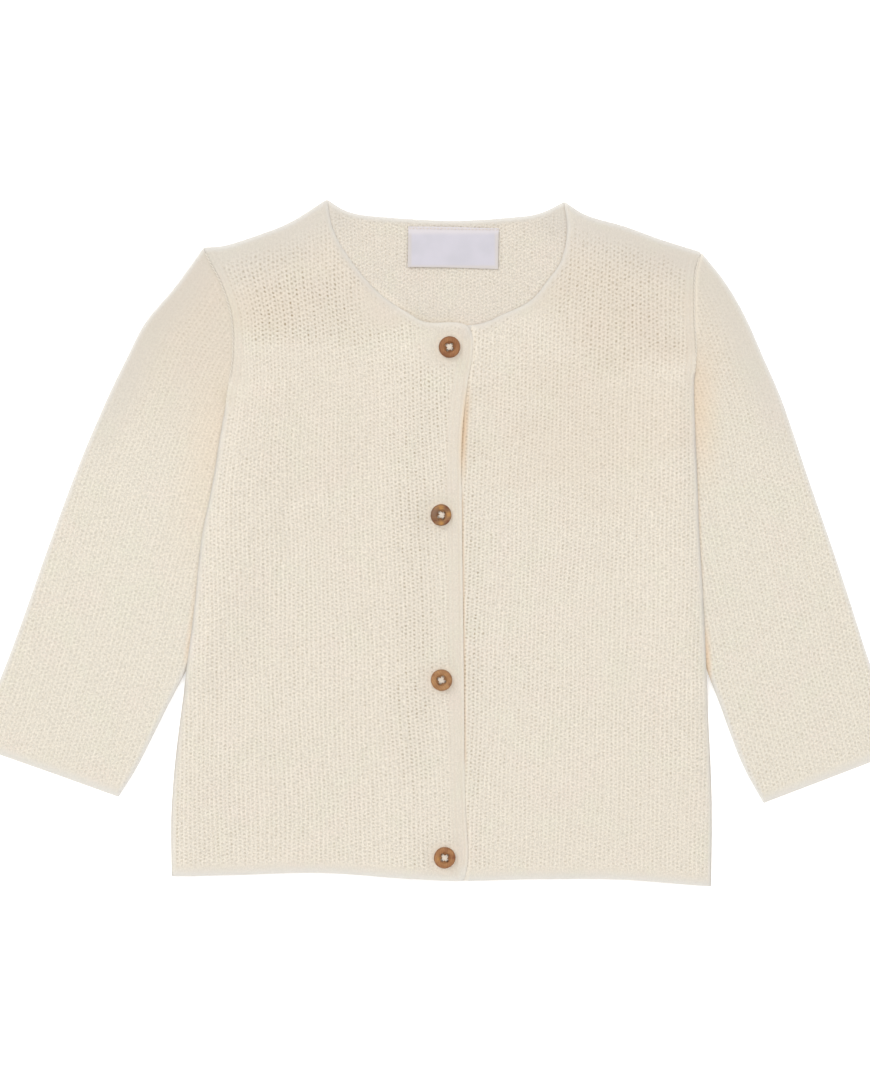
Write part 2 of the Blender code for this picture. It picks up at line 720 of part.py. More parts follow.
def main():
    """Builds the cardigan."""
    clear_scene()
    make_back(material("cream cotton knit, back", (0.80, 0.74, 0.63), 0.9))
    make_left_front(material("cream cotton knit, left front", (0.83, 0.77, 0.66), 0.9))
    make_right_front(material("cream cotton knit, right front", (0.83, 0.77, 0.66), 0.9))
    sleeve_knit = material("cream cotton knit, sleeves", (0.82, 0.76, 0.65), 0.9)
    rows_down = tuple(reversed(ROWS))
    make_sleeve("sleeve_right", RIGHT_SLEEVE, RIGHT_EDGE, rows_down[:RIGHT_FREE_ROWS], -1, sleeve_knit)
    make_sleeve("sleeve_left", LEFT_SLEEVE, LEFT_EDGE, rows_down[:LEFT_FREE_ROWS], 1, sleeve_knit)
    make_label(material("white woven tape", (0.80, 0.79, 0.83), 0.6))
    wood = material("turned brown wood", (0.42, 0.20, 0.08), 0.5)
    thread = material("cream sewing thread", (0.85, 0.81, 0.74), 0.8)
    for number, row in enumerate(BUTTONS, 1):
        make_button(number, *row, wood)
        make_thread(number, *row, thread)


main()
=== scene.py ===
"""Looks of the baby cardigan laid flat: a knit with every stitch modelled on the fronts, the sleeves and
inside the neck, a bare neck label, turned wooden buttons and the thread that holds them.

Lengths in the tables are millimetres in the garment's own frame: +X to the viewer's right, +Y from the hem
to the neck, +Z up. Each mesh is written in metres. Right and left in names are the wearer's.
"""

import collections
import itertools
import math

import bmesh
import bpy
import numpy as np
from mathutils import Matrix, Vector
from mathutils.geometry import delaunay_2d_cdt


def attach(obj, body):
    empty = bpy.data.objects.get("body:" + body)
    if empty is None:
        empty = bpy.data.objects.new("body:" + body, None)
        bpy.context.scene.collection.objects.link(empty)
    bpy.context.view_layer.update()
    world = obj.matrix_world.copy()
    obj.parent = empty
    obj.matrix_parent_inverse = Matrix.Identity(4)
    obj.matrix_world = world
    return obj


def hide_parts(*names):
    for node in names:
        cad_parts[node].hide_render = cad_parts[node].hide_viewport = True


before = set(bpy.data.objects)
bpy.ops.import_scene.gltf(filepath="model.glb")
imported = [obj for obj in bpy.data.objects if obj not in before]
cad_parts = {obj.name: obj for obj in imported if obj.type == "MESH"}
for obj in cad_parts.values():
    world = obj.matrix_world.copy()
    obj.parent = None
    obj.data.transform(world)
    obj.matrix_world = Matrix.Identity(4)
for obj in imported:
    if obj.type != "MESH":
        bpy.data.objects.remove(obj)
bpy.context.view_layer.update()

# ---------------------------------------------------------------- driving sizes, mm
MM = 0.001
WALL = 1.6
LAYER_GAP = 0.4
SEAM_GAP = 0.3
LAYER = WALL + LAYER_GAP
SLEEVE_HEIGHT = 2 * WALL + LAYER_GAP

PLACKET_UNDER_EDGE = -10.0
PLACKET_STEP = (-40.0, -11.0)
NECK_STEP = (-23.0, -10.5)
PLACKET_GAPE = 1.1
PLACKET_GAPE_Y = 54.0
PLACKET_GAPE_HALF_LENGTH = 28.0
PLACKET_GAPE_WIDTH = 12.0
SLEEVE_CLEAR = (3.0, 34.0)  # the cloth bridges the step beside the sleeve that lies under it

RIDGE = 0.07  # half the height between a wale's ridge and its valley
HOLE = 0.20  # how much deeper a hole is than the valley, and higher the bridge between two holes
STITCH_SINK = 0.15  # how far the middle of the relief lies under the wall's outer side
ZIGZAG = 0.07  # how far a wale swings to the sides round the holes, in wales
WALE_DRIFT, COURSE_DRIFT = 0.06, 0.16  # how far the wales and the courses waver, in wales and in courses
STITCH_JITTER = 0.03

# ---------------------------------------------------------------- shape tables, mm
RIGHT_SIDE = (
    (-160.0, -127.4), (-132.7, -127.6), (-108.0, -126.0), (-84.0, -123.2), (-57.4, -119.6), (-26.6, -115.5),
    (1.7, -112.4), (30.5, -106.8), (52.0, -103.4), (73.7, -99.6), (92.0, -97.3), (109.2, -98.1),
    (124.2, -102.7), (135.3, -108.6), (141.6, -111.4),
)
LEFT_SIDE = (
    (-164.7, 131.6), (-132.7, 132.0), (-108.0, 131.4), (-66.5, 129.3), (-36.7, 127.8), (1.7, 125.3),
    (30.5, 124.2), (63.6, 122.8), (78.5, 122.7), (93.8, 123.6), (109.2, 122.8), (129.4, 123.2),
    (139.4, 126.2),
)
RIGHT_SHOULDER = ((-111.4, 141.6), (-100.8, 142.6), (-83.5, 148.1), (-69.3, 154.0), (-52.5, 164.7))
LEFT_SHOULDER = ((126.2, 139.4), (106.1, 145.6), (89.8, 151.5), (71.5, 156.9), (60.7, 163.6))
BACK_NECK = (
    (-52.5, 164.7), (-43.0, 159.2), (-29.8, 156.7), (7.2, 154.6), (37.4, 156.3), (49.8, 158.4),
    (60.7, 163.6),
)
RIGHT_NECK = (
    (-52.5, 164.7), (-49.7, 150.6), (-41.8, 136.6), (-27.9, 120.8), (-12.0, 109.7), (-4.3, 106.3),
    (9.0, 106.3), (14.6, 104.4), (17.0, 99.8),
)
LEFT_NECK = (
    (60.7, 163.6), (62.2, 150.0), (59.5, 136.1), (52.8, 126.5), (44.6, 116.9), (31.2, 110.2), (19.7, 105.7),
    (2.0, 104.6), (PLACKET_UNDER_EDGE, 105.2),
)
PLACKET_EDGE = (
    (-161.9, 13.4), (-148.0, 14.9), (-120.0, 13.4), (-70.0, 12.9), (20.0, 11.8), (50.0, 11.8), (76.0, 14.4),
    (90.0, 16.8), (99.8, 17.0),
)
HEM = (
    (-127.4, -160.0), (-95.0, -159.2), (-57.0, -158.3), (-19.0, -160.5), (13.4, -161.9), (50.0, -161.2),
    (87.0, -161.4), (131.6, -164.7),
)
# Where a sleeve under the body's side raises it: height as one of SIDE_SPAN, share.
SIDE_SPAN = (-162.3, 140.5)
RIGHT_LIFT = ((-76.0, 0.0), (-60.0, 1.0), (66.0, 1.0), (80.0, 0.0))
LEFT_LIFT = ((-84.0, 0.0), (-68.0, 1.0), (80.0, 1.0), (94.0, 0.0))
# Heights down to which the armholes run; a sleeve's end runs as far, as a height of SIDE_SPAN.
RIGHT_ARMHOLE_LOW, LEFT_ARMHOLE_LOW = 66.0, 80.0

# Folds of each sleeve, from the shoulder to the cuff: outer fold x, y and underarm fold x, y.
RIGHT_SLEEVE = (
    (-111.7, 141.4, -96.3, 52.0), (-125.9, 122.5, -95.7, 33.0), (-139.2, 106.5, -97.6, 14.0),
    (-148.3, 89.0, -101.0, -3.0), (-159.2, 66.0, -106.0, -22.0), (-173.9, 30.5, -116.0, -52.0),
    (-194.9, -27.1, -130.2, -80.6), (-209.8, -66.0, -142.6, -107.0), (-223.2, -98.2, -152.6, -123.6),
)
LEFT_SLEEVE = (
    (126.5, 139.2, 116.0, 58.0), (136.8, 126.0, 114.8, 38.0), (147.4, 106.5, 115.0, 18.0),
    (155.4, 90.0, 117.2, 0.0), (165.0, 68.0, 121.0, -20.0), (177.6, 30.5, 127.4, -54.0),
    (197.3, -27.1, 135.9, -78.3), (208.4, -60.0, 146.2, -105.0), (223.2, -98.6, 156.5, -124.1),
)
# Buttons from the neck down: x, y, lean about the placket's line in degrees, turn in degrees.
BUTTONS = (
    (6.0, 94.1, 0.0, 8.0), (1.6, 13.7, 17.0, -12.0), (2.3, -65.4, -6.0, 20.0), (3.6, -150.5, 3.0, -4.0),
)

# ---------------------------------------------------------------- knit tables
# Height of one course and width of one wale along the body: y, mm.
COURSE_PITCH = ((-165.0, 1.80), (-100.0, 1.88), (0.0, 1.93), (80.0, 2.04), (165.0, 2.14))
RIGHT_WALE_PITCH = ((-165.0, 2.16), (-60.0, 2.08), (30.0, 2.00), (80.0, 1.94), (165.0, 1.92))
LEFT_WALE_PITCH = ((-165.0, 2.06), (-60.0, 2.02), (30.0, 1.98), (80.0, 1.93), (165.0, 1.90))
# How far the courses sag at the placket, by height, and how far the wales lean over by each mm of height.
RIGHT_SAGS = ((-165.0, 4.0), (-40.0, 6.0), (2.0, 7.0), (45.0, 11.0), (83.0, 16.0), (170.0, 15.0))
LEFT_SAGS = ((-165.0, 0.0), (-40.0, 1.0), (2.0, 6.0), (45.0, 9.0), (83.0, 14.0), (170.0, 14.0))
SAG_MIDDLE, SAG_WIDTH = 8.0, 56.0
RIGHT_LEAN, LEFT_LEAN = -0.045, 0.04
BACK_WALE_PITCH = 1.8
BACK_COURSE_PITCH = 1.72
BACK_START = 100.0  # height of the back's course 0
SLEEVE_COURSE_PITCH = 2.17
RIGHT_SLEEVE_WALE_PITCH = 2.20
LEFT_SLEEVE_WALE_PITCH = 1.94

# How a knit ends at each kind of edge: plain band, width over which the relief then fades in.
EDGE_BANDS = {
    "hem": (3.4, 4.0), "cuff": (2.4, 4.4), "placket": (6.0, 1.8), "under_edge": (3.0, 1.5),
    "neck": (1.6, 1.0), "back_neck": (1.6, 1.0), "shoulder": (3.0, 9.0), "armhole": (3.6, 1.2),
    "side": (0.8, 2.4), "end": (0.6, 1.2), "fold": (0.2, 0.8),
}
# How a front and the back thin towards an edge, where they settle on what lies under them:
# kind of edge, how far the upper side comes down, how far the underside does, and over what width.
FRONT_TAPERS = (
    ("placket", 0.80, 0.34, 3.0), ("neck", 0.70, 0.34, 2.6), ("side", 2.05, 1.15, 9.0),
    ("side", 0.60, 0.62, 1.8), ("hem", 0.50, 0.25, 4.0),
)
BACK_TAPERS = (("side", 0.85, 0.0, 9.0), ("back_neck", 0.4, 0.0, 2.0))
SIDE_SAG = 0.3  # how much lower the body's side lies where a sleeve is under it
SIDE_SAG_WIDTH = 9.0
# How the upper side slopes down at a cut edge: share of the thickness, width of the slope.
EDGE_SLOPES = {
    "hem": (0.80, 2.0), "placket": (0.82, 2.2), "under_edge": (0.85, 1.5), "neck": (0.86, 2.4),
    "back_neck": (0.85, 1.8), "shoulder": (0.78, 1.8), "armhole": (0.10, 0.8), "side": (0.85, 2.4),
    "cuff": (0.55, 1.8), "end": (0.05, 0.8),
}
RIM_FOOT = 0.03  # height of the foot of a panel's rim over its underside
ARMHOLE_GAP = 0.1
# Low rolls that run along an edge: kind of edge, distance from it, half width, height.
EDGE_ROLLS = (
    ("armhole", 1.1, 0.7, 0.30), ("armhole", 2.9, 0.7, 0.26), ("placket", 0.9, 0.6, 0.28),
    ("placket", 2.6, 0.6, 0.22), ("placket", 4.3, 0.6, 0.16), ("neck", 0.8, 0.7, 0.26),
    ("back_neck", 0.8, 0.7, 0.26), ("side", 1.0, 0.8, 0.20), ("hem", 1.0, 0.9, 0.12),
    ("cuff", 1.0, 0.9, 0.12),
)
# Painted shade in fine lines between the rolls: kind of edge, distance from it, half width, amount.
EDGE_LINES = (
    ("placket", 1.6, 0.35, 0.38), ("placket", 2.9, 0.35, 0.22), ("placket", 4.8, 0.40, 0.34),
    ("placket", 6.9, 0.35, 0.30), ("armhole", 2.1, 0.40, 0.22), ("armhole", 4.2, 0.40, 0.24),
    ("neck", 1.9, 0.45, 0.22), ("back_neck", 1.6, 0.45, 0.22),
)
# Soft areas of the fronts: middle x and y, half width and half height, amount, and the height of a foot.
YOKE_LOW = 95.6
AREA_FADE = (0.35, 1.15)
FOOT_BLUR = 0.8
OPEN_AREAS = (
    (-74.0, 110.0, 36.0, 32.0, 0.85, YOKE_LOW), (-40.0, 112.0, 28.0, 34.0, 0.60, YOKE_LOW),
    (86.0, 110.0, 36.0, 34.0, 0.55), (60.0, 120.0, 18.0, 24.0, 0.40), (-11.0, -40.0, 12.0, 130.0, 0.65),
    (17.0, -50.0, 7.0, 120.0, 0.65), (-4.0, 60.0, 22.0, 40.0, 0.55),
)
SMOOTH_AREAS = (
    (-27.0, 114.0, 15.0, 13.0, 0.7), (45.0, 114.0, 18.0, 14.0, 0.7), (-82.0, 152.0, 36.0, 14.0, 0.6),
    (95.0, 152.0, 40.0, 12.0, 0.6), (-104.0, 140.0, 10.0, 10.0, 0.7), (120.0, 138.0, 10.0, 10.0, 0.7),
    (-92.0, 92.0, 5.0, 40.0, 0.5), (3.0, 95.0, 15.0, 12.0, 0.85), (3.4, 15.0, 9.0, 10.0, 0.6),
    (2.4, -65.0, 9.0, 8.0, 0.5), (3.6, -150.0, 9.0, 8.0, 0.5), (-100.0, 60.0, 30.0, 30.0, 0.2),
    (90.0, -40.0, 36.0, 50.0, 0.15), (-60.0, 66.0, 50.0, 44.0, 0.14), (74.0, -135.0, 70.0, 34.0, 0.20),
    (80.0, 60.0, 40.0, 40.0, 0.05),
)
# Areas of painted shade and of painted warm shade on the fronts, laid out as the soft areas are.
SHADE_AREAS = (
    (-62.0, 126.0, 66.0, 40.0, 0.25, YOKE_LOW), (-56.0, 66.0, 60.0, 56.0, 0.09),
    (-50.0, 112.0, 36.0, 18.0, 0.10, YOKE_LOW), (-27.0, 112.0, 20.0, 13.0, 0.22),
    (86.0, 118.0, 66.0, 44.0, 0.32), (74.0, 60.0, 66.0, 56.0, 0.18), (-20.0, -30.0, 26.0, 120.0, 0.06),
)
WARM_SHADE_AREAS = (
    (-82.0, 110.0, 24.0, 18.0, 0.05, YOKE_LOW), (80.0, 104.0, 30.0, 26.0, 0.035),
    (68.0, 60.0, 60.0, 60.0, 0.03),
)
# How much painted light the cloth gets right at an edge that laps over another piece, and beside it on that
# piece, which evens out the shade there.
LIGHT_PAINTED_EDGES = {"neck": 0.12, "placket": 0.40, "side": 0.10}
# How much painted cool shade the cloth gets at the outer edges, and over what width.
COOL_SHADE_EDGES = {
    "fold": (0.90, 3.0), "shoulder": (0.80, 3.0), "back_neck": (0.80, 3.0), "neck": (0.45, 3.0),
    "side": (0.30, 3.0), "hem": (0.70, 5.0), "cuff": (0.70, 5.0),
}
# How much painted grey shade it gets there: kind of edge, amount, and the distances from and to which it
# fades.
GREY_SHADE_EDGES = (
    ("shoulder", 0.36, 5.0, 26.0), ("shoulder", 0.62, 0.8, 4.0), ("neck", 0.26, 1.0, 5.5),
    ("back_neck", 0.496, 0.8, 4.0),
)
# Strips of painted warm shade beside an edge: lowest, middle and highest y, width of the strip, amount.
# Two strips of painted darker shade on the left sleeve, and the placket's strip, have the same form.
RIGHT_WARM_SHADES = ((-40.0, 50.0, 106.0, 26.0, 0.18), (-66.0, -52.0, 10.0, 3.0, 0.30))
LEFT_WARM_SHADES = (
    (12.0, 66.0, 108.0, 16.0, 0.34), (-72.0, -62.0, -30.0, 3.6, 0.75), (-50.0, 20.0, 90.0, 1.6, 0.30),
)
UNDERARM_SHADE = (-76.0, -62.0, -34.0, 3.2, 0.95)
ARMHOLE_SHADE = (30.0, 66.0, 100.0, 14.0, 0.12)
PLACKET_WARM_SHADE = (24.0, 54.0, 82.0, 4.0, 0.75)
# Heights between which the placket stands open, and between which its edge gets a painted line of shade:
# where that begins, is full, is full last, and ends.
SLIT_SPAN = (26.0, 42.0, 66.0, 80.0)
SHUT_SPAN = (-112.0, -100.0, 18.0, 28.0)

# ---------------------------------------------------------------- camera, mm
PHOTO_HEIGHT = 521.8  # what the picture takes in on the garment
PHOTO_CENTRE = (-0.96, 0.0)
CLOTH_LEVEL = 5.0  # height at which the picture has that size
LENS = 85.0
SENSOR = 36.0

LINE_STEPS = 12  # points that a smooth line gets between two given ones
UNDER_PITCH, PLAIN_PITCH = 4.0, 5.0  # grid of a front's and the back's underside, and of other plain skins
UNDER_MARGIN, PLAIN_MARGIN = 1.2, 1.5  # how far those grids stay away from the rim
CHUNK = 1500  # points that are measured at a time
RNG = np.random.default_rng(68)
TAU = 2 * math.pi


# ---------------------------------------------------------------- plane curves
def smooth_line(points, steps=LINE_STEPS):
    """A smooth line through the points (Catmull-Rom)."""
    p = np.array(points, float)
    ends = np.vstack([2 * p[0] - p[1], p, 2 * p[-1] - p[-2]])
    a, b, c, d = (ends[i : len(ends) - 3 + i, None, :] for i in range(4))
    t = (np.arange(steps) / steps)[None, :, None]
    pull = (c - a) * t + (2 * a - 5 * b + 4 * c - d) * t**2 + (3 * b - a - 3 * c + d) * t**3
    return np.vstack([(b + pull / 2).reshape(-1, 2), p[-1]])


def ramp(value, low, high):
    """0 at low and 1 at high, with a smooth change between them."""
    t = np.clip((value - low) / (high - low), 0.0, 1.0)
    return t * t * (3 - 2 * t)


def fade(value, full, none):
    """1 at a full value and 0 from another one on."""
    return 1 - ramp(value, full, none)


def bell(value, middle, half_width):
    """1 in the middle, falling off to both sides."""
    return np.exp(-(((value - middle) / half_width) ** 2))


def between(y, low, full, last, high):
    """1 from one height to another, fading out below and above."""
    return ramp(y, low, full) * fade(y, last, high)


def read_table(rows, value):
    """The second column at those values of the first, with smooth steps between the rows."""
    out = np.full(np.shape(value), float(rows[0][1]))
    for (low, a), (high, b) in zip(rows, rows[1:]):
        out = out + (b - a) * ramp(value, low, high)
    return out


def straight(rows, value):
    """The second column at those values of the first, with straight lines between the rows."""
    return np.interp(value, *np.array(rows).T)


def run_along(line):
    """How far along a line each of its points is."""
    return np.concatenate([[0.0], np.cumsum(np.hypot(*np.diff(line, axis=0).T))])


def x_on(line, y):
    """x of an upright line at those heights."""
    return np.interp(y, line[:, 1], line[:, 0])


def nearest(line, points):
    """Each point's distance from a line, and the line's nearest point."""
    start, step = line[:-1], np.diff(line, axis=0)
    length2 = np.maximum((step**2).sum(1), 1e-12)
    distance = np.empty(len(points))
    foot = np.empty_like(points)
    for low in range(0, len(points), CHUNK):
        p = points[low : low + CHUNK, None, :]
        t = np.clip(((p - start) * step).sum(2) / length2, 0, 1)
        on = start + t[..., None] * step
        far2 = ((p - on) ** 2).sum(2)
        best = far2.argmin(1)
        rows = np.arange(len(best))
        distance[low : low + CHUNK] = np.sqrt(far2[rows, best])
        foot[low : low + CHUNK] = on[rows, best]
    return distance, foot


def inside(polygon, points):
    """Which points lie inside a closed polygon."""
    a, b = polygon, np.roll(polygon, -1, axis=0)
    found = np.zeros(len(points), bool)
    rise = np.where(b[:, 1] == a[:, 1], 1e-12, b[:, 1] - a[:, 1])
    for low in range(0, len(points), CHUNK):
        x, y = points[low : low + CHUNK, 0:1], points[low : low + CHUNK, 1:2]
        across = (a[:, 1] > y) != (b[:, 1] > y)
        left = x < (b[:, 0] - a[:, 0]) * (y - a[:, 1]) / rise + a[:, 0]
        found[low : low + CHUNK] = (across & left).sum(1) % 2 == 1
    return found


RIGHT_EDGE, LEFT_EDGE, PLACKET_LINE = (
    smooth_line([(x, y) for y, x in rows]) for rows in (RIGHT_SIDE, LEFT_SIDE, PLACKET_EDGE)
)
HEM_LINE = smooth_line(HEM)


def part_of(line, low, high, axis):
    """The stretch of a line between two values of x (axis 0) or y (axis 1), its ends included."""
    values = line[:, axis]
    ends = [np.interp(v, values, line[:, 1 - axis]) for v in (low, high)]
    ends = list(zip((low, high), ends) if axis == 0 else zip(ends, (low, high)))
    middle = line[(values > low + 0.05) & (values < high - 0.05)]
    return np.vstack([ends[0], middle, ends[1]])


def above(edge, y):
    """The stretch of an upright edge above a height."""
    return part_of(edge, y, edge[-1, 1], 1)


def below(edge, y):
    """The stretch of an upright edge below a height."""
    return part_of(edge, edge[0, 1], y, 1)


class Outline:
    """A closed plan outline, from lines that follow one another, each with its kind of edge."""

    def __init__(self, *edges):
        self.kinds = [kind for kind, line in edges]
        self.lines = [np.asarray(line) for kind, line in edges]
        self.polygon = np.vstack([line[:-1] for line in self.lines])

    def measure(self, points):
        """Signed distance of each point, its nearest place on the outline, and its distance by kind."""
        best = np.full(len(points), np.inf)
        foot = np.zeros_like(points)
        by_kind = {}
        for kind, line in zip(self.kinds, self.lines):
            distance, on = nearest(line, points)
            closer = distance < best
            best[closer], foot[closer] = distance[closer], on[closer]
            by_kind[kind] = np.minimum(by_kind.get(kind, np.inf), distance)
        sign = np.where(inside(self.polygon, points), 1.0, -1.0)
        return best * sign, foot, by_kind


# ---------------------------------------------------------------- heights of the layers
def side_share(edge, y):
    """The height y as one of SIDE_SPAN, for a side edge that runs over its own span."""
    t = (y - edge[0, 1]) / (edge[-1, 1] - edge[0, 1])
    return SIDE_SPAN[0] + t * (SIDE_SPAN[1] - SIDE_SPAN[0])


def sleeve_lift(x, y):
    """Height to which the sleeve under the body's side raises the body there."""
    lifted = np.zeros(np.shape(x))
    for edge, lift, folds, inward in (
        (RIGHT_EDGE, RIGHT_LIFT, RIGHT_SLEEVE, 1),
        (LEFT_EDGE, LEFT_LIFT, LEFT_SLEEVE, -1),
    ):
        hidden_fold = np.array(folds)[::-1, 2:4]
        beyond = inward * (x - x_on(hidden_fold, y))
        share = read_table(lift, side_share(edge, y)) * fade(beyond, *SLEEVE_CLEAR)
        lifted = np.maximum(lifted, share)
    return lifted * (SLEEVE_HEIGHT + LAYER_GAP)


def side_sag(x, y):
    """How far the body's side, which is soft, sinks onto the sleeve under it."""
    away = np.minimum(x - x_on(RIGHT_EDGE, y), x_on(LEFT_EDGE, y) - x)
    share = sleeve_lift(x, y) / (SLEEVE_HEIGHT + LAYER_GAP)
    return SIDE_SAG * share * fade(away, 0.0, SIDE_SAG_WIDTH)


def back_under(x, y):
    """Underside of the back."""
    return sleeve_lift(x, y) - side_sag(x, y)


def left_front_under(x, y):
    """Underside of the left front, which lies on the back."""
    return back_under(x, y) + LAYER


def right_front_under(x, y):
    """Underside of the right front: on the back, and on the left front where the two lap."""
    at_neck = ramp(y, 90.0, 106.0)
    lap = ramp(x, *PLACKET_STEP) * (1 - at_neck) + ramp(x, *NECK_STEP) * at_neck
    along_gape = fade(np.abs(y - PLACKET_GAPE_Y) / PLACKET_GAPE_HALF_LENGTH, 0.0, 1.0)
    free_edge = x_on(PLACKET_LINE, y)
    across_gape = ramp(x - free_edge, -PLACKET_GAPE_WIDTH, 0.0)
    return back_under(x, y) + LAYER + LAYER * lap + PLACKET_GAPE * along_gape * across_gape


# ---------------------------------------------------------------- soft fields over the plan
WAVES = [(RNG.normal(0, 1, 2), RNG.uniform(0, TAU), RNG.uniform(0.5, 1.0)) for _ in range(24)]


def ripple(x, y, length, shift=0):
    """A smooth uneven field of about -1 to 1, whose swells are about that long."""
    total = 0.0
    for (a, b), phase, weight in WAVES[shift : shift + 8]:
        total = total + weight * np.sin(TAU * (a * x + b * y) / (1.6 * length) + phase)
    return total / 2.6


def area_amount(areas, x, y):
    """The strongest of the soft areas at each point. An area is an ellipse, and a foot cuts it off below."""
    most = np.zeros(np.shape(x))
    for mid_x, mid_y, half_width, half_height, amount, *foot in areas:
        out = np.hypot((x - mid_x) / half_width, (y - mid_y) / half_height) + 0.22 * ripple(x, y, 24.0, 9)
        share = amount * fade(out, *AREA_FADE)
        for low in foot:
            share = share * ramp(y + FOOT_BLUR * ripple(x, y, 30.0, 1), low - FOOT_BLUR, low + FOOT_BLUR)
        most = np.maximum(most, share)
    return most


# ---------------------------------------------------------------- the knit's lattice
class Courses:
    """Heights of the courses over the body, from their pitch."""

    def __init__(self, rows):
        self.y = np.arange(-180.0, 181.0)
        pitch = straight(rows, self.y)
        self.v = np.concatenate([[0.0], np.cumsum(2.0 / (pitch[1:] + pitch[:-1]))])

    def height(self, v):
        return np.interp(v, self.v, self.y)

    def number(self, y):
        return np.interp(y, self.y, self.v)


COURSES = Courses(COURSE_PITCH)


def side_pull(edge, pitch_rows, x, y):
    """How far the wales beside an armhole bend to run along it."""
    side_x = x_on(edge, y)
    start = x_on(edge, 30.0) / straight(pitch_rows, 30.0)
    bend = np.clip(side_x - start * straight(pitch_rows, y), -5.0, 5.0) * ramp(y, 5.0, 60.0)
    return bend * np.exp(-np.abs(x - side_x) / 22.0)


def front_place(pitch_rows, edge, lean, sags):
    """Plan place of wale u and course v on a front, whose courses sag towards the placket."""

    def place(u, v):
        y = COURSES.height(v)
        x = u * straight(pitch_rows, y) + lean * y
        x = x + side_pull(edge, pitch_rows, x, y) + 0.45 * ripple(x, y, 60.0)
        y = y - straight(sags, y) * bell(x, SAG_MIDDLE, SAG_WIDTH)
        hem = straight(HEM_LINE, x) - HEM[4][1]
        return x, y + hem * fade(y, -160.0, -60.0) + 0.5 * ripple(x, y, 70.0, 8)

    return place


def back_place(u, v):
    """Plan place of wale u and course v inside the back's neck."""
    x, y = u * BACK_WALE_PITCH, v * BACK_COURSE_PITCH + BACK_START
    return x + 0.5 * ripple(x, y, 50.0, 4), y + 0.4 * ripple(x, y, 60.0, 12)


def sleeve_guide(folds, swing):
    """The line that a sleeve's wales run beside: its outer fold, drawn on past both ends."""
    line = smooth_line([row[0:2] for row in folds])
    first, last = line[0] - line[6], line[-1] - line[-7]
    first, last = first / np.hypot(*first), last / np.hypot(*last)
    line = np.vstack([line[0] + first * 30.0, line, line[-1] + last * 30.0])
    run = run_along(line)
    steps = np.arange(0.0, run[-1], 0.5)
    x, y = np.interp(steps, run, line[:, 0]), np.interp(steps, run, line[:, 1])
    way = np.unwrap(np.arctan2(np.gradient(y), np.gradient(x)))
    way = np.convolve(np.pad(way, 60, mode="edge"), np.hanning(123)[1:-1] / np.hanning(123).sum(), "valid")
    return steps, x, y, way + math.radians(swing)


def sleeve_place(folds, wale_pitch, side, swing):
    """Plan place of wale u, counted from the outer fold inwards, and course v of a sleeve."""
    steps, gx, gy, way = sleeve_guide(folds, swing)
    lean = math.tan(math.radians(abs(swing)))

    def place(u, v):
        s = v * SLEEVE_COURSE_PITCH
        x, y, w = (np.interp(s, steps, g) for g in (gx, gy, way))
        across = u * wale_pitch + s * lean
        x = x - side * across * np.sin(w)
        y = y + side * across * np.cos(w)
        return x + 0.4 * ripple(x, y, 50.0, 2), y + 0.4 * ripple(x, y, 50.0, 10)

    return place


DICE = RNG.uniform(0, 1, 4093)


def hole_strength(uv, x, y, opened):
    """How open the hole nearest to each point is: uneven by hole, along a column and in patches."""
    column = np.round(uv[:, 0]).astype(int)
    half = np.where(column % 2 == 0, 0.0, 0.5)
    row = np.round(uv[:, 1] - half).astype(int)
    single = DICE[(column * 131 + row * 71) % len(DICE)] ** 1.4
    along = 0.5 + 0.5 * ripple(column * 37.0, uv[:, 1], 9.0, 5)
    patch = 0.5 + 0.5 * ripple(x, y, 20.0, 13)
    alternate = np.where(column % 2 == 0, 1.3, 0.65)
    quiet = 0.24 + 0.52 * single + 0.26 * np.clip(along, 0, 1) + 0.08 * np.clip(patch, 0, 1)
    wide = (0.46 + 0.52 * single) * alternate * (0.85 + 0.15 * patch)
    return np.clip(quiet * (1 - opened) * 0.50 + opened * wide, 0.0, 1.2)


def is_hole(i, j):
    """True at the lattice's points, four to a wale and two to a course, that are the middle of a hole."""
    return ((i % 8 == 0) & (j % 2 == 0)) | ((i % 8 == 4) & (j % 2 == 1))


def column_drift(u, v, length, shift):
    """A wavering of about -1 to 1 along each column of holes, different from one column to the next."""
    low = np.floor(u).astype(int)
    share = u - low

    def one(column):
        a, b, c = (DICE[(column * 57 + shift + k * 911) % len(DICE)] for k in range(3))
        slow = np.sin(TAU * (v / (length * (0.7 + 0.6 * a)) + b))
        return 0.6 * slow + 0.5 * np.sin(TAU * (v / (length * 0.37 * (0.7 + 0.6 * c)) + a + b))

    return one(low) * (1 - share) + one(low + 1) * share


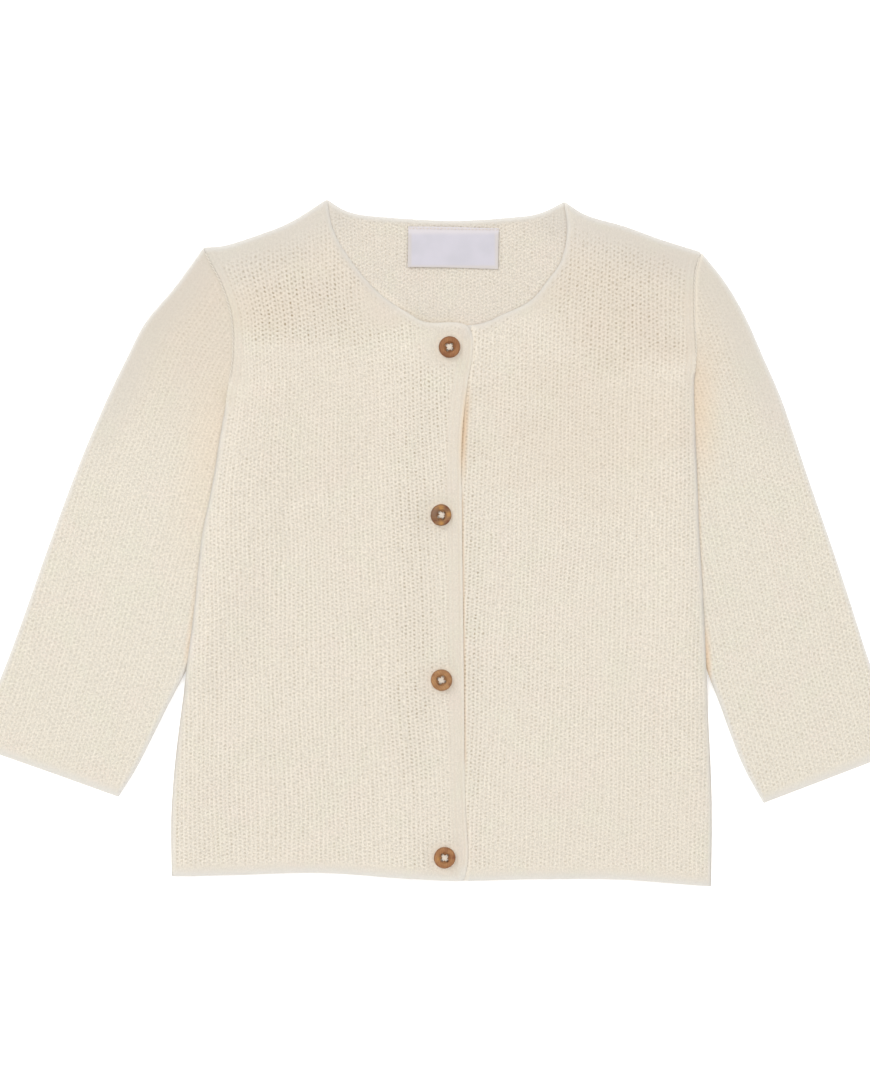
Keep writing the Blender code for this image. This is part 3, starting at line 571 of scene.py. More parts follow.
def lattice(place, outline, u_range, v_range):
    """The knit inside an outline: its points on the plan, their (u, v), and its triangles."""
    i = np.arange(4 * u_range[0], 4 * u_range[1] + 1)
    j = np.arange(2 * v_range[0], 2 * v_range[1] + 1)
    ii, jj = np.meshgrid(i, j)
    u, v = ii / 4.0, jj / 2.0
    swing = ZIGZAG * np.sin(math.pi * u) * np.cos(TAU * v) + WALE_DRIFT * column_drift(u, v, 15.0, 0)
    x, y = place(u + swing, v + COURSE_DRIFT * column_drift(u, v, 21.0, 300))
    points = np.column_stack([x.ravel(), y.ravel()])
    points += RNG.uniform(-STITCH_JITTER, STITCH_JITTER, points.shape)
    uv = np.column_stack([u.ravel(), v.ravel()])

    across = len(i)
    a = (np.arange(len(j) - 1)[:, None] * across + np.arange(across - 1)[None, :]).ravel()
    b, c, d = a + 1, a + across + 1, a + across
    hole = is_hole(ii, jj).ravel()
    flip = hole[a] | hole[c] | (~(hole[b] | hole[d]) & ((ii + jj).ravel()[a] % 2 == 0))
    first = np.where(flip[:, None], np.column_stack([a, b, d]), np.column_stack([a, b, c]))
    second = np.where(flip[:, None], np.column_stack([b, c, d]), np.column_stack([a, c, d]))
    return clip(points, uv, np.vstack([first, second]), outline)


SNAP = 0.22  # points this close to the outline are moved onto it


def clip(points, uv, triangles, outline):
    """Keeps what lies inside the outline, with new points where a triangle crosses it."""
    signed, foot, _ = outline.measure(points)
    close = np.abs(signed) < SNAP
    points = np.where(close[:, None], foot, points)
    signed = np.where(close, 0.0, signed)
    sides = signed[triangles]
    whole = (sides >= 0).all(1) & (sides > 0).any(1)
    cut = (sides > 0).any(1) & (sides < 0).any(1)
    new_points, new_uv, made = [], [], {}

    def crossing(a, b):
        key = (min(a, b), max(a, b))
        if key not in made:
            t = signed[a] / (signed[a] - signed[b])
            made[key] = len(points) + len(new_points)
            new_points.append(points[a] + (points[b] - points[a]) * t)
            new_uv.append(uv[a] + (uv[b] - uv[a]) * t)
        return made[key]

    pieces = []
    for corners in triangles[cut].tolist():
        shape = []
        for a, b in zip(corners, corners[1:] + corners[:1]):
            if signed[a] >= 0:
                shape.append(a)
            if signed[a] * signed[b] < 0:
                shape.append(crossing(a, b))
        pieces += [(shape[0], shape[k], shape[k + 1]) for k in range(1, len(shape) - 1)]
    _, on, _ = outline.measure(np.array(new_points))
    return compact(np.vstack([points, on]), np.vstack([uv, new_uv]), np.vstack([triangles[whole], pieces]))


def compact(points, uv, triangles):
    """The same skin without points that no triangle uses, and only its largest connected part."""
    label = np.arange(len(points))
    while True:
        lowest = label[triangles].min(1)
        new = label.copy()
        np.minimum.at(new, triangles.ravel(), np.repeat(lowest, 3))
        new = new[new]
        if (new == label).all():
            break
        label = new
    parts, counts = np.unique(label[triangles[:, 0]], return_counts=True)
    triangles = triangles[label[triangles[:, 0]] == parts[counts.argmax()]]
    used = np.unique(triangles)
    index = np.full(len(points), -1)
    index[used] = np.arange(len(used))
    return points[used], uv[used], index[triangles]


def rim_loop(triangles):
    """The skin's border as one loop of points, in the direction of its triangles."""
    a = triangles.ravel()
    b = np.roll(triangles, -1, axis=1).ravel()
    size = triangles.max() + 1
    border = ~np.isin(a * size + b, b * size + a)
    following = {}
    for start, end in zip(a[border].tolist(), b[border].tolist()):
        following.setdefault(start, []).append(end)
    loops = []
    while following:
        loop, here = [], next(iter(following))
        while here in following:
            loop.append(here)
            ways = following[here]
            step = ways.pop()
            if not ways:
                del following[here]
            here = step
        loops.append(loop)
    return np.array(max(loops, key=len))


def turns(points, triangles):
    """Twice each triangle's area, negative where it turns clockwise."""
    a, b, c = (points[triangles[:, k]] for k in range(3))
    return (b[:, 0] - a[:, 0]) * (c[:, 1] - a[:, 1]) - (b[:, 1] - a[:, 1]) * (c[:, 0] - a[:, 0])


def coarse_skin(loop, pitch, margin):
    """Triangles over a closed loop of plan points, with extra points on a grid inside it."""
    low, high = loop.min(0), loop.max(0)
    x, y = np.meshgrid(np.arange(low[0], high[0], pitch), np.arange(low[1], high[1], pitch))
    grid = np.column_stack([x.ravel(), y.ravel()])
    grid = grid[inside(loop, grid)]
    distance, _ = nearest(np.vstack([loop, loop[:1]]), grid)
    grid = grid[distance > margin]
    everything = np.vstack([loop, grid])
    ring = list(range(len(loop)))
    result = delaunay_2d_cdt([Vector(p) for p in everything.tolist()], [], [ring], 1, 1e-7)
    source = [ids[0] for ids in result[3]]
    triangles = np.array([[source[k] for k in face] for face in result[2]])
    turn = turns(everything, triangles)
    triangles[turn < 0] = triangles[turn < 0][:, ::-1]
    return everything, triangles[np.abs(turn) > 1e-9]


# ---------------------------------------------------------------- meshes
# An edge is drawn sharp where its two faces turn by more than this.
CLOTH_SHARP_ANGLE = math.radians(62)
SHARP_ANGLE = math.radians(55)
BUTTON_SHARP_ANGLE = math.radians(40)


def linked(name, data):
    """A new object in the scene."""
    thing = bpy.data.objects.new(name, data)
    bpy.context.scene.collection.objects.link(thing)
    return thing


def with_height(points, z):
    """Plan points with their height."""
    return np.column_stack([points, np.broadcast_to(z, len(points))])


def eased(places):
    """Places on the plan as the cloth, a little stretched by its weight, lies in the end."""
    x, y = places[:, 0], places[:, 1]
    stretch = 0.0075 - 0.0040 * ramp(-y, 0.0, 60.0)
    bulge = 1.2 * bell(y, 112.0, 16.0) * ramp(x, 125.0, 140.0)
    rise = 0.95 * ramp(y, 118.0, 150.0) - 0.45 * ramp(-y, 150.0, 163.0)
    cuffs = ramp(-y, 60.0, 115.0) * (1.75 * ramp(-x, 127.0, 140.0) - 0.75 * ramp(x, 130.0, 143.0))
    return np.column_stack([x * (1 + stretch) + bulge, y + rise + cuffs])


class Cloth:
    """Points, triangles and painted values of a piece of cloth, gathered skin by skin."""

    # Values painted on each point: the knit's relief and holes, painted warm shade, painted shade, painted
    # light, painted cool shade, painted grey shade, and whether the stitches are modelled.
    VALUES = ("relief", "open", "warm_shade", "shade", "pale", "cool", "grey", "modelled")

    def __init__(self, points, uv, triangles, **values):
        """The cloth's first skin, which is its knitted one."""
        self.points, self.uv = np.zeros((0, 3)), np.zeros((0, 2))
        self.values = {name: np.zeros(0) for name in self.VALUES}
        self.triangles = [triangles]
        self.add(points, uv, **values)

    def add(self, points, uv, **values):
        """Adds points, and returns the number of the first one."""
        first = len(self.points)
        self.points = np.vstack([self.points, points])
        self.uv = np.vstack([self.uv, uv])
        for name in self.VALUES:
            value = np.broadcast_to(values.get(name, 0.0), len(points))
            self.values[name] = np.concatenate([self.values[name], value])
        return first

    def join(self, first, second, here, after):
        """Closes the gap between two rings of points, from each point here to the one after it."""
        self.triangles.append(np.column_stack([first[after], first[here], second[here]]))
        self.triangles.append(np.column_stack([first[after], second[here], second[after]]))

    def mesh(self, name, material):
        """The piece as an object, smoothly shaded."""
        mesh = bpy.data.meshes.new(name)
        places = with_height(eased(self.points), self.points[:, 2])
        mesh.from_pydata((places * MM).tolist(), [], np.vstack(self.triangles).tolist())
        mesh.shade_smooth()
        mesh.set_sharp_from_angle(angle=CLOTH_SHARP_ANGLE)
        layer = mesh.uv_layers.new(name="knit")
        corners = np.zeros(len(mesh.loops), np.int64)
        mesh.loops.foreach_get("vertex_index", corners)
        layer.data.foreach_set("uv", self.uv[corners].astype(np.float32).ravel())
        for value, numbers in self.values.items():
            field = mesh.attributes.new(value, "FLOAT", "POINT")
            field.data.foreach_set("value", numbers.astype(np.float32))
        mesh.materials.append(material)
        return linked(name, mesh)


def strongest(edges, by_kind):
    """The strongest of the amounts that fall off from the edges, each over its own width."""
    most = 0.0
    for kind, (amount, width) in edges.items():
        if kind in by_kind:
            most = np.maximum(most, amount * fade(by_kind[kind], 0.0, width))
    return most


def relief_share(by_kind):
    """1 where the knit shows its full relief, 0 in the plain bands along the edges."""
    share = 1.0
    for kind, distance in by_kind.items():
        plain, soft = EDGE_BANDS[kind]
        share = share * ramp(distance, plain, plain + soft)
    return share


def along_edges(rows, by_kind):
    """The sum of narrow lines that run along the edges: kind, distance, half width, height or amount."""
    total = 0.0
    for kind, offset, half_width, amount in rows:
        if kind in by_kind:
            total = total + amount * bell(by_kind[kind], offset, half_width)
    return total


def taper(by_kind, rows):
    """How far the upper side and the underside come down towards the edges."""
    top, under = 0.0, 0.0
    for kind, top_drop, under_drop, width in rows:
        if kind in by_kind:
            share = fade(by_kind[kind], 0.0, width)
            top, under = top + top_drop * share, under + under_drop * share
    return top, under


def shade_strip(x, y, line, row):
    """A strip of painted shade beside an upright line."""
    low, middle, high, width, amount = row
    return amount * fade(np.abs(x - x_on(line, y)), 0.0, width) * between(y, low, middle, middle, high)


def near(distance):
    """1 right at a line and 0 at a few millimetres from it."""
    return fade(distance, 0.2, 2.6)


def paint_under_placket(x, y, warm_shade, shade, pale):
    """The left front's painted light and shade beside the placket's edge: in the open slit, and along the
    shut line below it.
    """
    beyond = x - x_on(PLACKET_LINE, y)
    slit = between(y, *SLIT_SPAN)
    line = between(y, *SHUT_SPAN) * fade(np.abs(beyond - 0.2), 0.4, 0.9)
    # Painted light at the edge and in the slit, painted shade in the slit and along the shut line, and
    # painted warm shade beside them.
    pale = np.maximum(pale, LIGHT_PAINTED_EDGES["placket"] * fade(np.abs(beyond), 0.2, 1.0))
    pale = np.maximum(pale, 0.85 * slit * fade(np.abs(beyond), 0.3, 0.8)) * (1 - line)
    pale = np.maximum(pale, 0.28 * bell(beyond, 1.1, 0.5))
    shade = np.maximum(np.maximum(shade, 0.70 * slit * bell(beyond, 1.4, 0.8)), 0.75 * line)
    warm_shade = np.maximum(np.maximum(warm_shade, shade_strip(x, y, PLACKET_LINE, PLACKET_WARM_SHADE)), 0.25 * line)
    return warm_shade, shade, pale


def paint_placket(x, y, edge, warm_shade, shade, pale):
    """The right front's painted light and shade at its placket: painted warm shade at the slit's edge, and
    painted light round each button.
    """
    # Painted warm shade and shade along the edge where the slit stands open.
    slit_shade = between(y, *SLIT_SPAN) * fade(edge, 0.3, 1.2)
    # Painted light round each button, which evens out its shade on the cloth.
    for button_x, button_y, *_ in BUTTONS:
        light_round_button = fade(np.hypot(x - button_x, y - button_y), BUTTON_RADIUS - 0.5, BUTTON_RADIUS + 3.5)
        pale = np.maximum(pale, 0.55 * light_round_button)
    return np.maximum(warm_shade, 0.45 * slit_shade), np.maximum(shade, 0.40 * slit_shade), pale


def knit_height(uv, x, y, relief, swell, strength, by_kind):
    """Height over the wall's outer side: ridges, valleys, staggered holes, and the rolls along the edges."""
    u, v = uv.T
    stitch = -RIDGE * np.cos(TAU * u) - (0.5 + strength) * HOLE * np.cos(math.pi * u) * np.cos(TAU * v)
    swell = swell * (1 + 0.15 * ripple(x, y, 18.0, 6))
    return relief * swell * stitch - STITCH_SINK + along_edges(EDGE_ROLLS, by_kind)


def knit_top(points, uv, outline, under, is_front, tapers):
    """Height and painted values of a knitted upper side."""
    x, y = points[:, 0], points[:, 1]
    signed, _, by_kind = outline.measure(points)
    relief = relief_share(by_kind)
    top_drop, under_drop = taper(by_kind, tapers)
    opened, warm_shade, shade, pale, grey = np.zeros((5, len(x)))
    if is_front:
        relief = relief * (1 - area_amount(SMOOTH_AREAS, x, y))
        opened, warm_shade, shade = (area_amount(rows, x, y) for rows in (OPEN_AREAS, WARM_SHADE_AREAS, SHADE_AREAS))
    # Painted shade in lines along the edges, painted light at the edges that lap, painted light and shade at
    # the placket, and painted grey shade near some edges.
    shade = np.clip(shade + along_edges(EDGE_LINES, by_kind), 0.0, 1.0)
    for kind, amount in LIGHT_PAINTED_EDGES.items():
        if kind in by_kind:
            pale = np.maximum(pale, amount * near(by_kind[kind]))
    if "under_edge" in by_kind:
        warm_shade, shade, pale = paint_under_placket(x, y, warm_shade, shade, pale)
    if "placket" in by_kind:
        warm_shade, shade, pale = paint_placket(x, y, by_kind["placket"], warm_shade, shade, pale)
    for kind, amount, full, none in GREY_SHADE_EDGES:
        if kind in by_kind:
            grey = np.maximum(grey, amount * fade(by_kind[kind], full, none))
    strength = hole_strength(uv, x, y, opened)
    height = knit_height(uv, x, y, relief, 0.85 + 0.25 * opened, strength, by_kind)
    height = height + RNG.normal(0, STITCH_JITTER, len(x)) * relief + 0.03 * ripple(x, y, 26.0, 3)
    thick = WALL - top_drop + under_drop
    z = under(x, y) - under_drop + thick * (1 - strongest(EDGE_SLOPES, by_kind))
    # The painted values, with painted cool shade at the outer edges.
    painted = dict(relief=relief, open=strength, warm_shade=warm_shade, shade=shade, pale=pale, modelled=1.0)
    painted.update(cool=strongest(COOL_SHADE_EDGES, by_kind), grey=grey)
    return z + height * ramp(signed, 0.0, WALL / 2), painted


def panel(name, outline, place, u_range, under, material):
    """A front, with a knitted upper side and a plain underside."""
    v_range = (math.floor(COURSES.number(-170.0)), math.ceil(COURSES.number(179.0)))
    points, uv, triangles = lattice(place, outline, u_range, v_range)
    z, values = knit_top(points, uv, outline, under, True, FRONT_TAPERS)
    cloth = Cloth(with_height(points, z), uv, triangles, **values)
    return closed(cloth, name, outline, under, FRONT_TAPERS, material)


def closed(cloth, name, outline, under, tapers, material):
    """A panel from its upper skin, closed from below on the points of its rim."""
    loop = rim_loop(cloth.triangles[0])
    points, triangles = coarse_skin(cloth.points[loop, :2], UNDER_PITCH, UNDER_MARGIN)
    _, _, by_kind = outline.measure(points)
    rim = np.arange(len(points)) < len(loop)
    z = under(points[:, 0], points[:, 1]) - taper(by_kind, tapers)[1] + RIM_FOOT * rim
    uv = points / (BACK_WALE_PITCH, BACK_COURSE_PITCH)
    first = cloth.add(with_height(points, z), uv, relief=1.0 - rim)
    cloth.triangles.append(first + triangles[:, ::-1])
    here = np.arange(len(loop))
    cloth.join(loop, first + here, here, np.roll(here, -1))
    return cloth.mesh(name, material)


# ---------------------------------------------------------------- node materials
class Value:
    """What a node gives: sums, differences and products of values are math nodes."""

    def __init__(self, nodes, socket):
        self.nodes, self.socket = nodes, socket

    def __add__(self, other):
        return self.nodes.maths("ADD", self, other)

    def __mul__(self, other):
        return self.nodes.maths("MULTIPLY", self, other)

    def __sub__(self, other):
        return self.nodes.maths("SUBTRACT", self, other)

    def __rsub__(self, other):
        return self.nodes.maths("SUBTRACT", other, self)


class Nodes:
    """Short ways to add nodes and links to a material."""

    def __init__(self, name):
        self.material = bpy.data.materials.new(name)
        self.material.use_nodes = True
        self.tree = self.material.node_tree
        self.shader = self.tree.nodes["Principled BSDF"]
        self.place = self.add("ShaderNodeTexCoord", "Object")

    def put(self, socket, value):
        if isinstance(value, Value):
            self.tree.links.new(value.socket, socket)
        else:
            socket.default_value = value

    def add(self, kind, output, settings=(), values=(), **inputs):
        """One output of a new node, whose inputs are given in order or by name."""
        node = self.tree.nodes.new(kind)
        for key, value in dict(settings).items():
            setattr(node, key, value)
        for socket, value in zip(node.inputs, values):
            self.put(socket, value)
        for key, value in inputs.items():
            self.put(node.inputs[key.replace("_", " ")], value)
        return Value(self, node.outputs[output])

    def maths(self, operation, *values, clamp=False):
        return self.add("ShaderNodeMath", 0, {"operation": operation, "use_clamp": clamp}, values)

    def vector(self, operation, *values, output="Vector"):
        return self.add("ShaderNodeVectorMath", output, {"operation": operation}, values)

    def parts(self, vector):
        """x and y of a vector."""
        return [self.add("ShaderNodeSeparateXYZ", axis, Vector=vector) for axis in "XY"]

    def mapped(self, vector, **inputs):
        return self.add("ShaderNodeMapping", 0, Vector=vector, **inputs)

    def step(self, value, low, high):
        """A smooth step of a value from 0 at low to 1 at high."""
        settings = {"interpolation_type": "SMOOTHSTEP"}
        return self.add("ShaderNodeMapRange", 0, settings, (value, low, high, 0.0, 1.0))

    def layers(self, colour, *rows):
        """A colour with others laid over it, each with its share."""
        for share, tone in rows:
            node = self.tree.nodes.new("ShaderNodeMix")
            node.data_type = "RGBA"
            for socket, value in zip((node.inputs[0], *node.inputs[6:8]), (share, colour, tone)):
                self.put(socket, value)
            colour = Value(self, node.outputs[2])
        return colour

    def noise(self, vector, scale, detail=2.0, rough=0.5, output="Fac"):
        inputs = dict(Vector=vector, Scale=scale, Detail=detail, Roughness=rough)
        return self.add("ShaderNodeTexNoise", output, **inputs)

    def wave(self, vector, scale, direction, **inputs):
        settings = {"bands_direction": direction}
        return self.add("ShaderNodeTexWave", "Fac", settings, Vector=vector, Scale=scale, **inputs)

    def bump(self, height, strength, distance):
        return self.add("ShaderNodeBump", 0, Strength=strength, Distance=distance, Height=height)

    def surface(self, **inputs):
        """Sets the shader's inputs, and gives the finished material."""
        for key, value in inputs.items():
            self.put(self.shader.inputs[key.replace("_", " ")], value)
        return self.material


def rgb(red, green, blue):
    """A colour from sRGB numbers of 0 to 255."""
    channels = [c / 255 for c in (red, green, blue)]
    return (*[c / 12.92 if c <= 0.04045 else ((c + 0.055) / 1.055) ** 2.4 for c in channels], 1.0)


# Colours laid over the knit by its painted light and shade, in the order knit_material mixes them.
KNIT_TONES = (
    rgb(186, 172, 148),  # painted shade in the valleys
    rgb(207, 194, 179),  # shade
    rgb(196, 193, 188),  # painted grey shade
    rgb(214, 212, 208),  # painted cool shade at the outer edges
    rgb(248, 238, 222),  # painted light, which evens out the shade near edges and buttons
    rgb(232, 201, 164),  # painted warm shade
    rgb(150, 130, 94),  # painted shade in the holes
)


def shaded(colour, share):
    """A colour made lighter or darker."""
    return tuple(c * share for c in colour[:3]) + (1.0,)


def knit_material(name, light, plain, hole_share, furrow_share, thread_share):
    """Cream cotton knit: ridges with painted highlights, valleys with painted shade, and holes with painted
    warm shade.
    """
    n = Nodes(name)
    knit = n.add("ShaderNodeUVMap", "UV", {"uv_map": "knit"})

    def wavering(scale, detail, reach):
        noise = n.noise(knit, scale, detail, output="Color")
        return n.vector("MULTIPLY", n.vector("SUBTRACT", noise, (0.5, 0.5, 0.5)), reach)

    def streaks(length, scale, detail):
        return n.noise(n.mapped(knit, Scale=(1.0, length, 1.0)), scale, detail)

    moved = n.vector("ADD", knit, wavering(0.9, 1.0, (0.25, 0.55, 0.0)))
    u, v = n.parts(n.vector("ADD", moved, wavering(2.6, 0.0, (0.35, 0.5, 0.0))))
    cos_u = n.maths("COSINE", u * math.pi)
    stagger = n.maths("SIGN", cos_u) * n.maths("COSINE", v * TAU)
    valley = n.maths("ABSOLUTE", cos_u)
    relief, opened, warm_shade, shade, pale, cool, grey, modelled = (
        n.add("ShaderNodeAttribute", "Fac", {"attribute_name": value}) for value in Cloth.VALUES
    )

    # Where the holes are: painted shade in the colour, and a dip in the bump where the stitches are not
    # modelled.
    in_hole = n.step(valley, 0.68, 0.99) * n.step(stagger, -0.35, 0.98) * opened * relief
    in_hole = n.maths("MULTIPLY", in_hole, hole_share, clamp=True)
    bridge = n.step(valley, 0.5, 0.95) * n.step(stagger * -1.0, -0.1, 0.9) * relief * (opened * 0.4 + 0.12)
    ridge = (1.0 - n.step(valley, 0.1, 0.55)) * relief
    slant = n.maths("SIGN", n.maths("SINE", u * math.pi)) * u
    legs = n.maths("SINE", (v * 2.0 + slant) * TAU)
    mottle, fibre = n.noise(n.place, 28.0, 3.0, 0.6), n.noise(n.place, 1500.0, 3.0, 0.65)
    fuzz, fluff = n.noise(n.place, 1250.0, 0.0), n.noise(n.place, 1450.0, 0.0)
    streak, strands, tufts = streaks(0.05, 1.3, 2.0), streaks(0.10, 1.3, 1.0), streaks(0.40, 3.6, 0.0)
    pink, green = (n.step(n.noise(n.place, scale, 1.0), 0.48, 0.72) * 0.22 for scale in (52.0, 64.0))
    rough = relief * 0.6 + 0.4
    # Painted highlight on the yarn along the ridges.
    yarn = n.step(1.0 - valley, 0.45, 0.95) * (n.step(strands, 0.35, 0.65) * 0.6 + 0.2)
    yarn = yarn * (relief * thread_share)
    # Painted shade in the valleys.
    furrow = n.step(valley, 0.6, 1.0) * relief * (n.step(streak, 0.3, 0.7) * furrow_share + 0.02)
    base = n.layers(
        shaded(light, 0.99),
        (n.step(mottle, 0.3, 0.7), light),
        (n.step(streak, 0.35, 0.7) * 0.15, shaded(light, 1.04)),
        (1.0 - relief, plain),
        (pink, rgb(228, 210, 204)),
        (green, rgb(212, 220, 198)),
        # painted highlight on the ridges
        (ridge * (legs * 0.3 + 0.3), shaded(light, 1.05)),
        (n.step(fibre, 0.35, 0.75) * 0.14, rgb(190, 176, 154)),
        (n.step(fuzz, 0.45, 0.68) * (rough * 0.8), shaded(light, 0.84)),
        (n.step(fluff, 0.50, 0.70) * (rough * 0.9), shaded(light, 1.12)),
        (n.step(tufts, 0.50, 0.64) * 0.60, shaded(light, 0.86)),
        # painted highlights on the bridges between holes and on the yarn along the ridges
        (bridge, shaded(light, 1.10)),
        (yarn, shaded(light, 1.14)),
        # painted shade in the valleys, the painted light and shade that the points carry, and painted shade
        # in the holes
        *zip((furrow, shade, grey, cool, pale, warm_shade, in_hole), KNIT_TONES),
    )
    pattern = (valley * -0.5 + in_hole * -0.7) * (1.0 - modelled) * relief
    return n.surface(
        Base_Color=base,
        Normal=n.bump(pattern + fibre * 0.30 + legs * ridge * 0.09, 0.6, 0.0005),
        Roughness=fibre * 0.12 + 0.84,
        Specular_IOR_Level=0.2,
        Subsurface_Weight=0.4,
        Subsurface_Radius=(1.0, 0.96, 0.92),
        Subsurface_Scale=0.0016,
        Sheen_Weight=0.06,
        Sheen_Roughness=0.45,
        Sheen_Tint=(1.0, 0.98, 0.95, 1.0),
    )


def label_material():
    """White woven satin tape."""
    n = Nodes("white satin tape")
    weave = n.wave(n.place, 1100.0, "X", Distortion=0.6) * n.wave(n.place, 700.0, "Y", Distortion=0.8)
    mottle = n.noise(n.place, 90.0)
    side, up = n.parts(n.add("ShaderNodeTexCoord", "Generated"))
    fold = n.step(up + mottle * 0.05, 0.80, 0.92)
    margin = n.step(n.maths("ABSOLUTE", side - 0.5), 0.44, 0.48)
    margin = n.maths("MAXIMUM", margin, 1.0 - n.step(up, 0.05, 0.12))
    base = n.layers(
        rgb(194, 192, 201),
        (n.step(mottle, 0.3, 0.7), rgb(200, 197, 207)),
        (margin, rgb(200, 194, 192)),
        (fold, rgb(212, 207, 211)),
        (weave * 0.14, rgb(176, 173, 182)),
    )
    bump = n.bump(weave, 0.25, 0.0001)
    return n.surface(Base_Color=base, Normal=bump, Roughness=weave * 0.12 + 0.48, Sheen_Weight=0.1)


def thread_material(name, light, dark):
    """Twisted cotton thread."""
    n = Nodes(name)
    twist = n.wave(n.place, 1500.0, "DIAGONAL")
    base = n.layers(light, (twist * 0.35, dark))
    return n.surface(Base_Color=base, Normal=n.bump(twist, 0.5, 0.0001), Roughness=0.75, Sheen_Weight=0.2)


# Painted shade in a button's dish, and the darker tone towards its rim.
DISH_SHADE_AND_DARK_RIM = rgb(92, 56, 36)
RED, GREY, GOLD = rgb(104, 52, 34), rgb(126, 98, 78), rgb(192, 140, 72)
# The buttons' woods: light and dark tone, turn of the grain in degrees, and spots.
WOODS = (
    ((159, 109, 68), (134, 86, 50), 20.0, ((-3.0, -2.8, 1.6, 0.35, RED), (1.0, -4.0, 1.3, 0.35, RED))),
    ((166, 122, 80), (130, 93, 62), 70.0, (
        (3.6, -2.6, 1.9, 0.75, RED), (1.6, 4.4, 1.5, 0.8, RED), (-3.8, 0.4, 3.0, 0.75, GREY),
        (-1.2, 3.4, 1.9, 0.7, GOLD), (3.6, 1.2, 2.0, 0.6, GOLD), (0.6, -3.9, 1.9, 0.75, GOLD),
        (-2.8, -3.4, 1.5, 0.65, RED),
    )),
    ((177, 132, 87), (156, 111, 70), -15.0, ((-2.4, 3.4, 1.0, 0.7, RED), (3.0, -3.2, 1.3, 0.65, RED))),
    ((172, 124, 78), (148, 97, 58), 5.0, (
        (-4.4, 1.6, 1.0, 0.7, RED), (4.2, 0.6, 1.3, 0.7, RED), (0.5, 4.2, 2.0, 0.4, RED),
        (-2.8, -0.6, 1.6, 0.5, GOLD),
    )),
)


def wood_material(number):
    """Turned wood with grain lines, pores and spots, painted shade in the dish and a darker rim. A spot is
    x, y, radius, share, colour.
    """
    n = Nodes(f"turned wood {number}")
    light, dark, grain_turn, spots = WOODS[number - 1]
    light, dark = rgb(*light), rgb(*dark)
    shift = (0.013 * number, 0.007 * number, 0.0)
    turned = n.mapped(n.place, Rotation=(0.0, 0.0, math.radians(grain_turn)), Location=shift)
    grain = n.mapped(turned, Scale=(1.0, 0.16, 0.5))
    rings = n.wave(grain, 330.0, "X", Distortion=5.0, Detail=3.0, Detail_Scale=2.0)
    pores = n.noise(grain, 2600.0, 4.0, 0.7)
    rows = [
        (n.step(n.noise(turned, 260.0), 0.32, 0.68), dark),
        (rings * 0.35, shaded(dark, 0.45)),
        (n.step(pores, 0.55, 0.75) * 0.35, rgb(84, 46, 26)),
    ]
    for x, y, radius, share, tone in spots:
        away = n.vector("DISTANCE", n.place, (x * MM, y * MM, 2.2 * MM), output="Value")
        ragged = n.noise(n.place, 900.0) * 0.0012 + away
        rows.append(((1.0 - n.step(ragged, 0.4 * radius * MM, radius * MM + 0.0006)) * share, tone))
    from_axis = n.vector("LENGTH", n.vector("MULTIPLY", n.place, (1.0, 1.0, 0.0)), output="Value")
    radius = n.noise(n.place, 700.0) * 0.0004 + from_axis
    # Painted shade in the dish.
    rows.append(((1.0 - n.step(radius, 0.0024, 0.0031)) * 0.22, DISH_SHADE_AND_DARK_RIM))
    # Darker towards the rim.
    rows.append((n.step(radius, 0.0046, 0.0054) * 0.35, DISH_SHADE_AND_DARK_RIM))
    return n.surface(
        Base_Color=n.layers(light, *rows),
        Normal=n.bump(rings * 0.5 + pores * -0.5, 0.35, 0.00012),
        Roughness=pores * 0.25 + 0.42,
        Specular_IOR_Level=0.35,
    )


# ---------------------------------------------------------------- body
def round_corner(first, second, radius):
    """Two lines that meet, cut back from their corner, and the curve that joins them."""

    def cut(line):
        away = np.hypot(*(line - line[-1]).T)
        kept = line[away > radius]
        way = line[-1] - kept[-1]
        return np.vstack([kept, kept[-1] + way * (1 - radius / np.hypot(*way))])

    corner = first[-1]
    first, second = cut(first), cut(second[::-1])[::-1]
    t = np.linspace(0, 1, 7)[:, None]
    curve = first[-1] * (1 - t) ** 2 + 2 * corner * t * (1 - t) + second[0] * t**2
    return first, curve, second


def make_front_right(material):
    """The right front, which laps over the left one."""
    hem = part_of(HEM_LINE, HEM[0][0], PLACKET_EDGE[0][1], 0)
    hem, corner, placket = round_corner(hem, PLACKET_LINE, 4.0)
    outline = Outline(
        ("hem", hem),
        ("hem", corner),
        ("placket", placket),
        ("neck", smooth_line(RIGHT_NECK)[::-1]),
        ("shoulder", smooth_line(RIGHT_SHOULDER)[::-1]),
        ("armhole", above(RIGHT_EDGE, RIGHT_ARMHOLE_LOW)[::-1]),
        ("side", below(RIGHT_EDGE, RIGHT_ARMHOLE_LOW)[::-1]),
    )
    place = front_place(RIGHT_WALE_PITCH, RIGHT_EDGE, RIGHT_LEAN, RIGHT_SAGS)
    return panel("front_right_knit", outline, place, (-66, 14), right_front_under, material)


def make_front_left(material):
    """The left front, which carries the buttons."""
    hem_start = straight(HEM_LINE, PLACKET_UNDER_EDGE)
    outline = Outline(
        ("hem", part_of(HEM_LINE, PLACKET_UNDER_EDGE, HEM[-1][0], 0)),
        ("side", below(LEFT_EDGE, LEFT_ARMHOLE_LOW)),
        ("armhole", above(LEFT_EDGE, LEFT_ARMHOLE_LOW)),
        ("shoulder", smooth_line(LEFT_SHOULDER)),
        ("neck", smooth_line(LEFT_NECK)),
        ("under_edge", [LEFT_NECK[-1], (PLACKET_UNDER_EDGE, hem_start)]),
    )
    place = front_place(LEFT_WALE_PITCH, LEFT_EDGE, LEFT_LEAN, LEFT_SAGS)
    return panel("front_left_knit", outline, place, (-10, 74), left_front_under, material)


NECK_WINDOW = 96.0  # height above which the back's inner side is knitted stitch by stitch


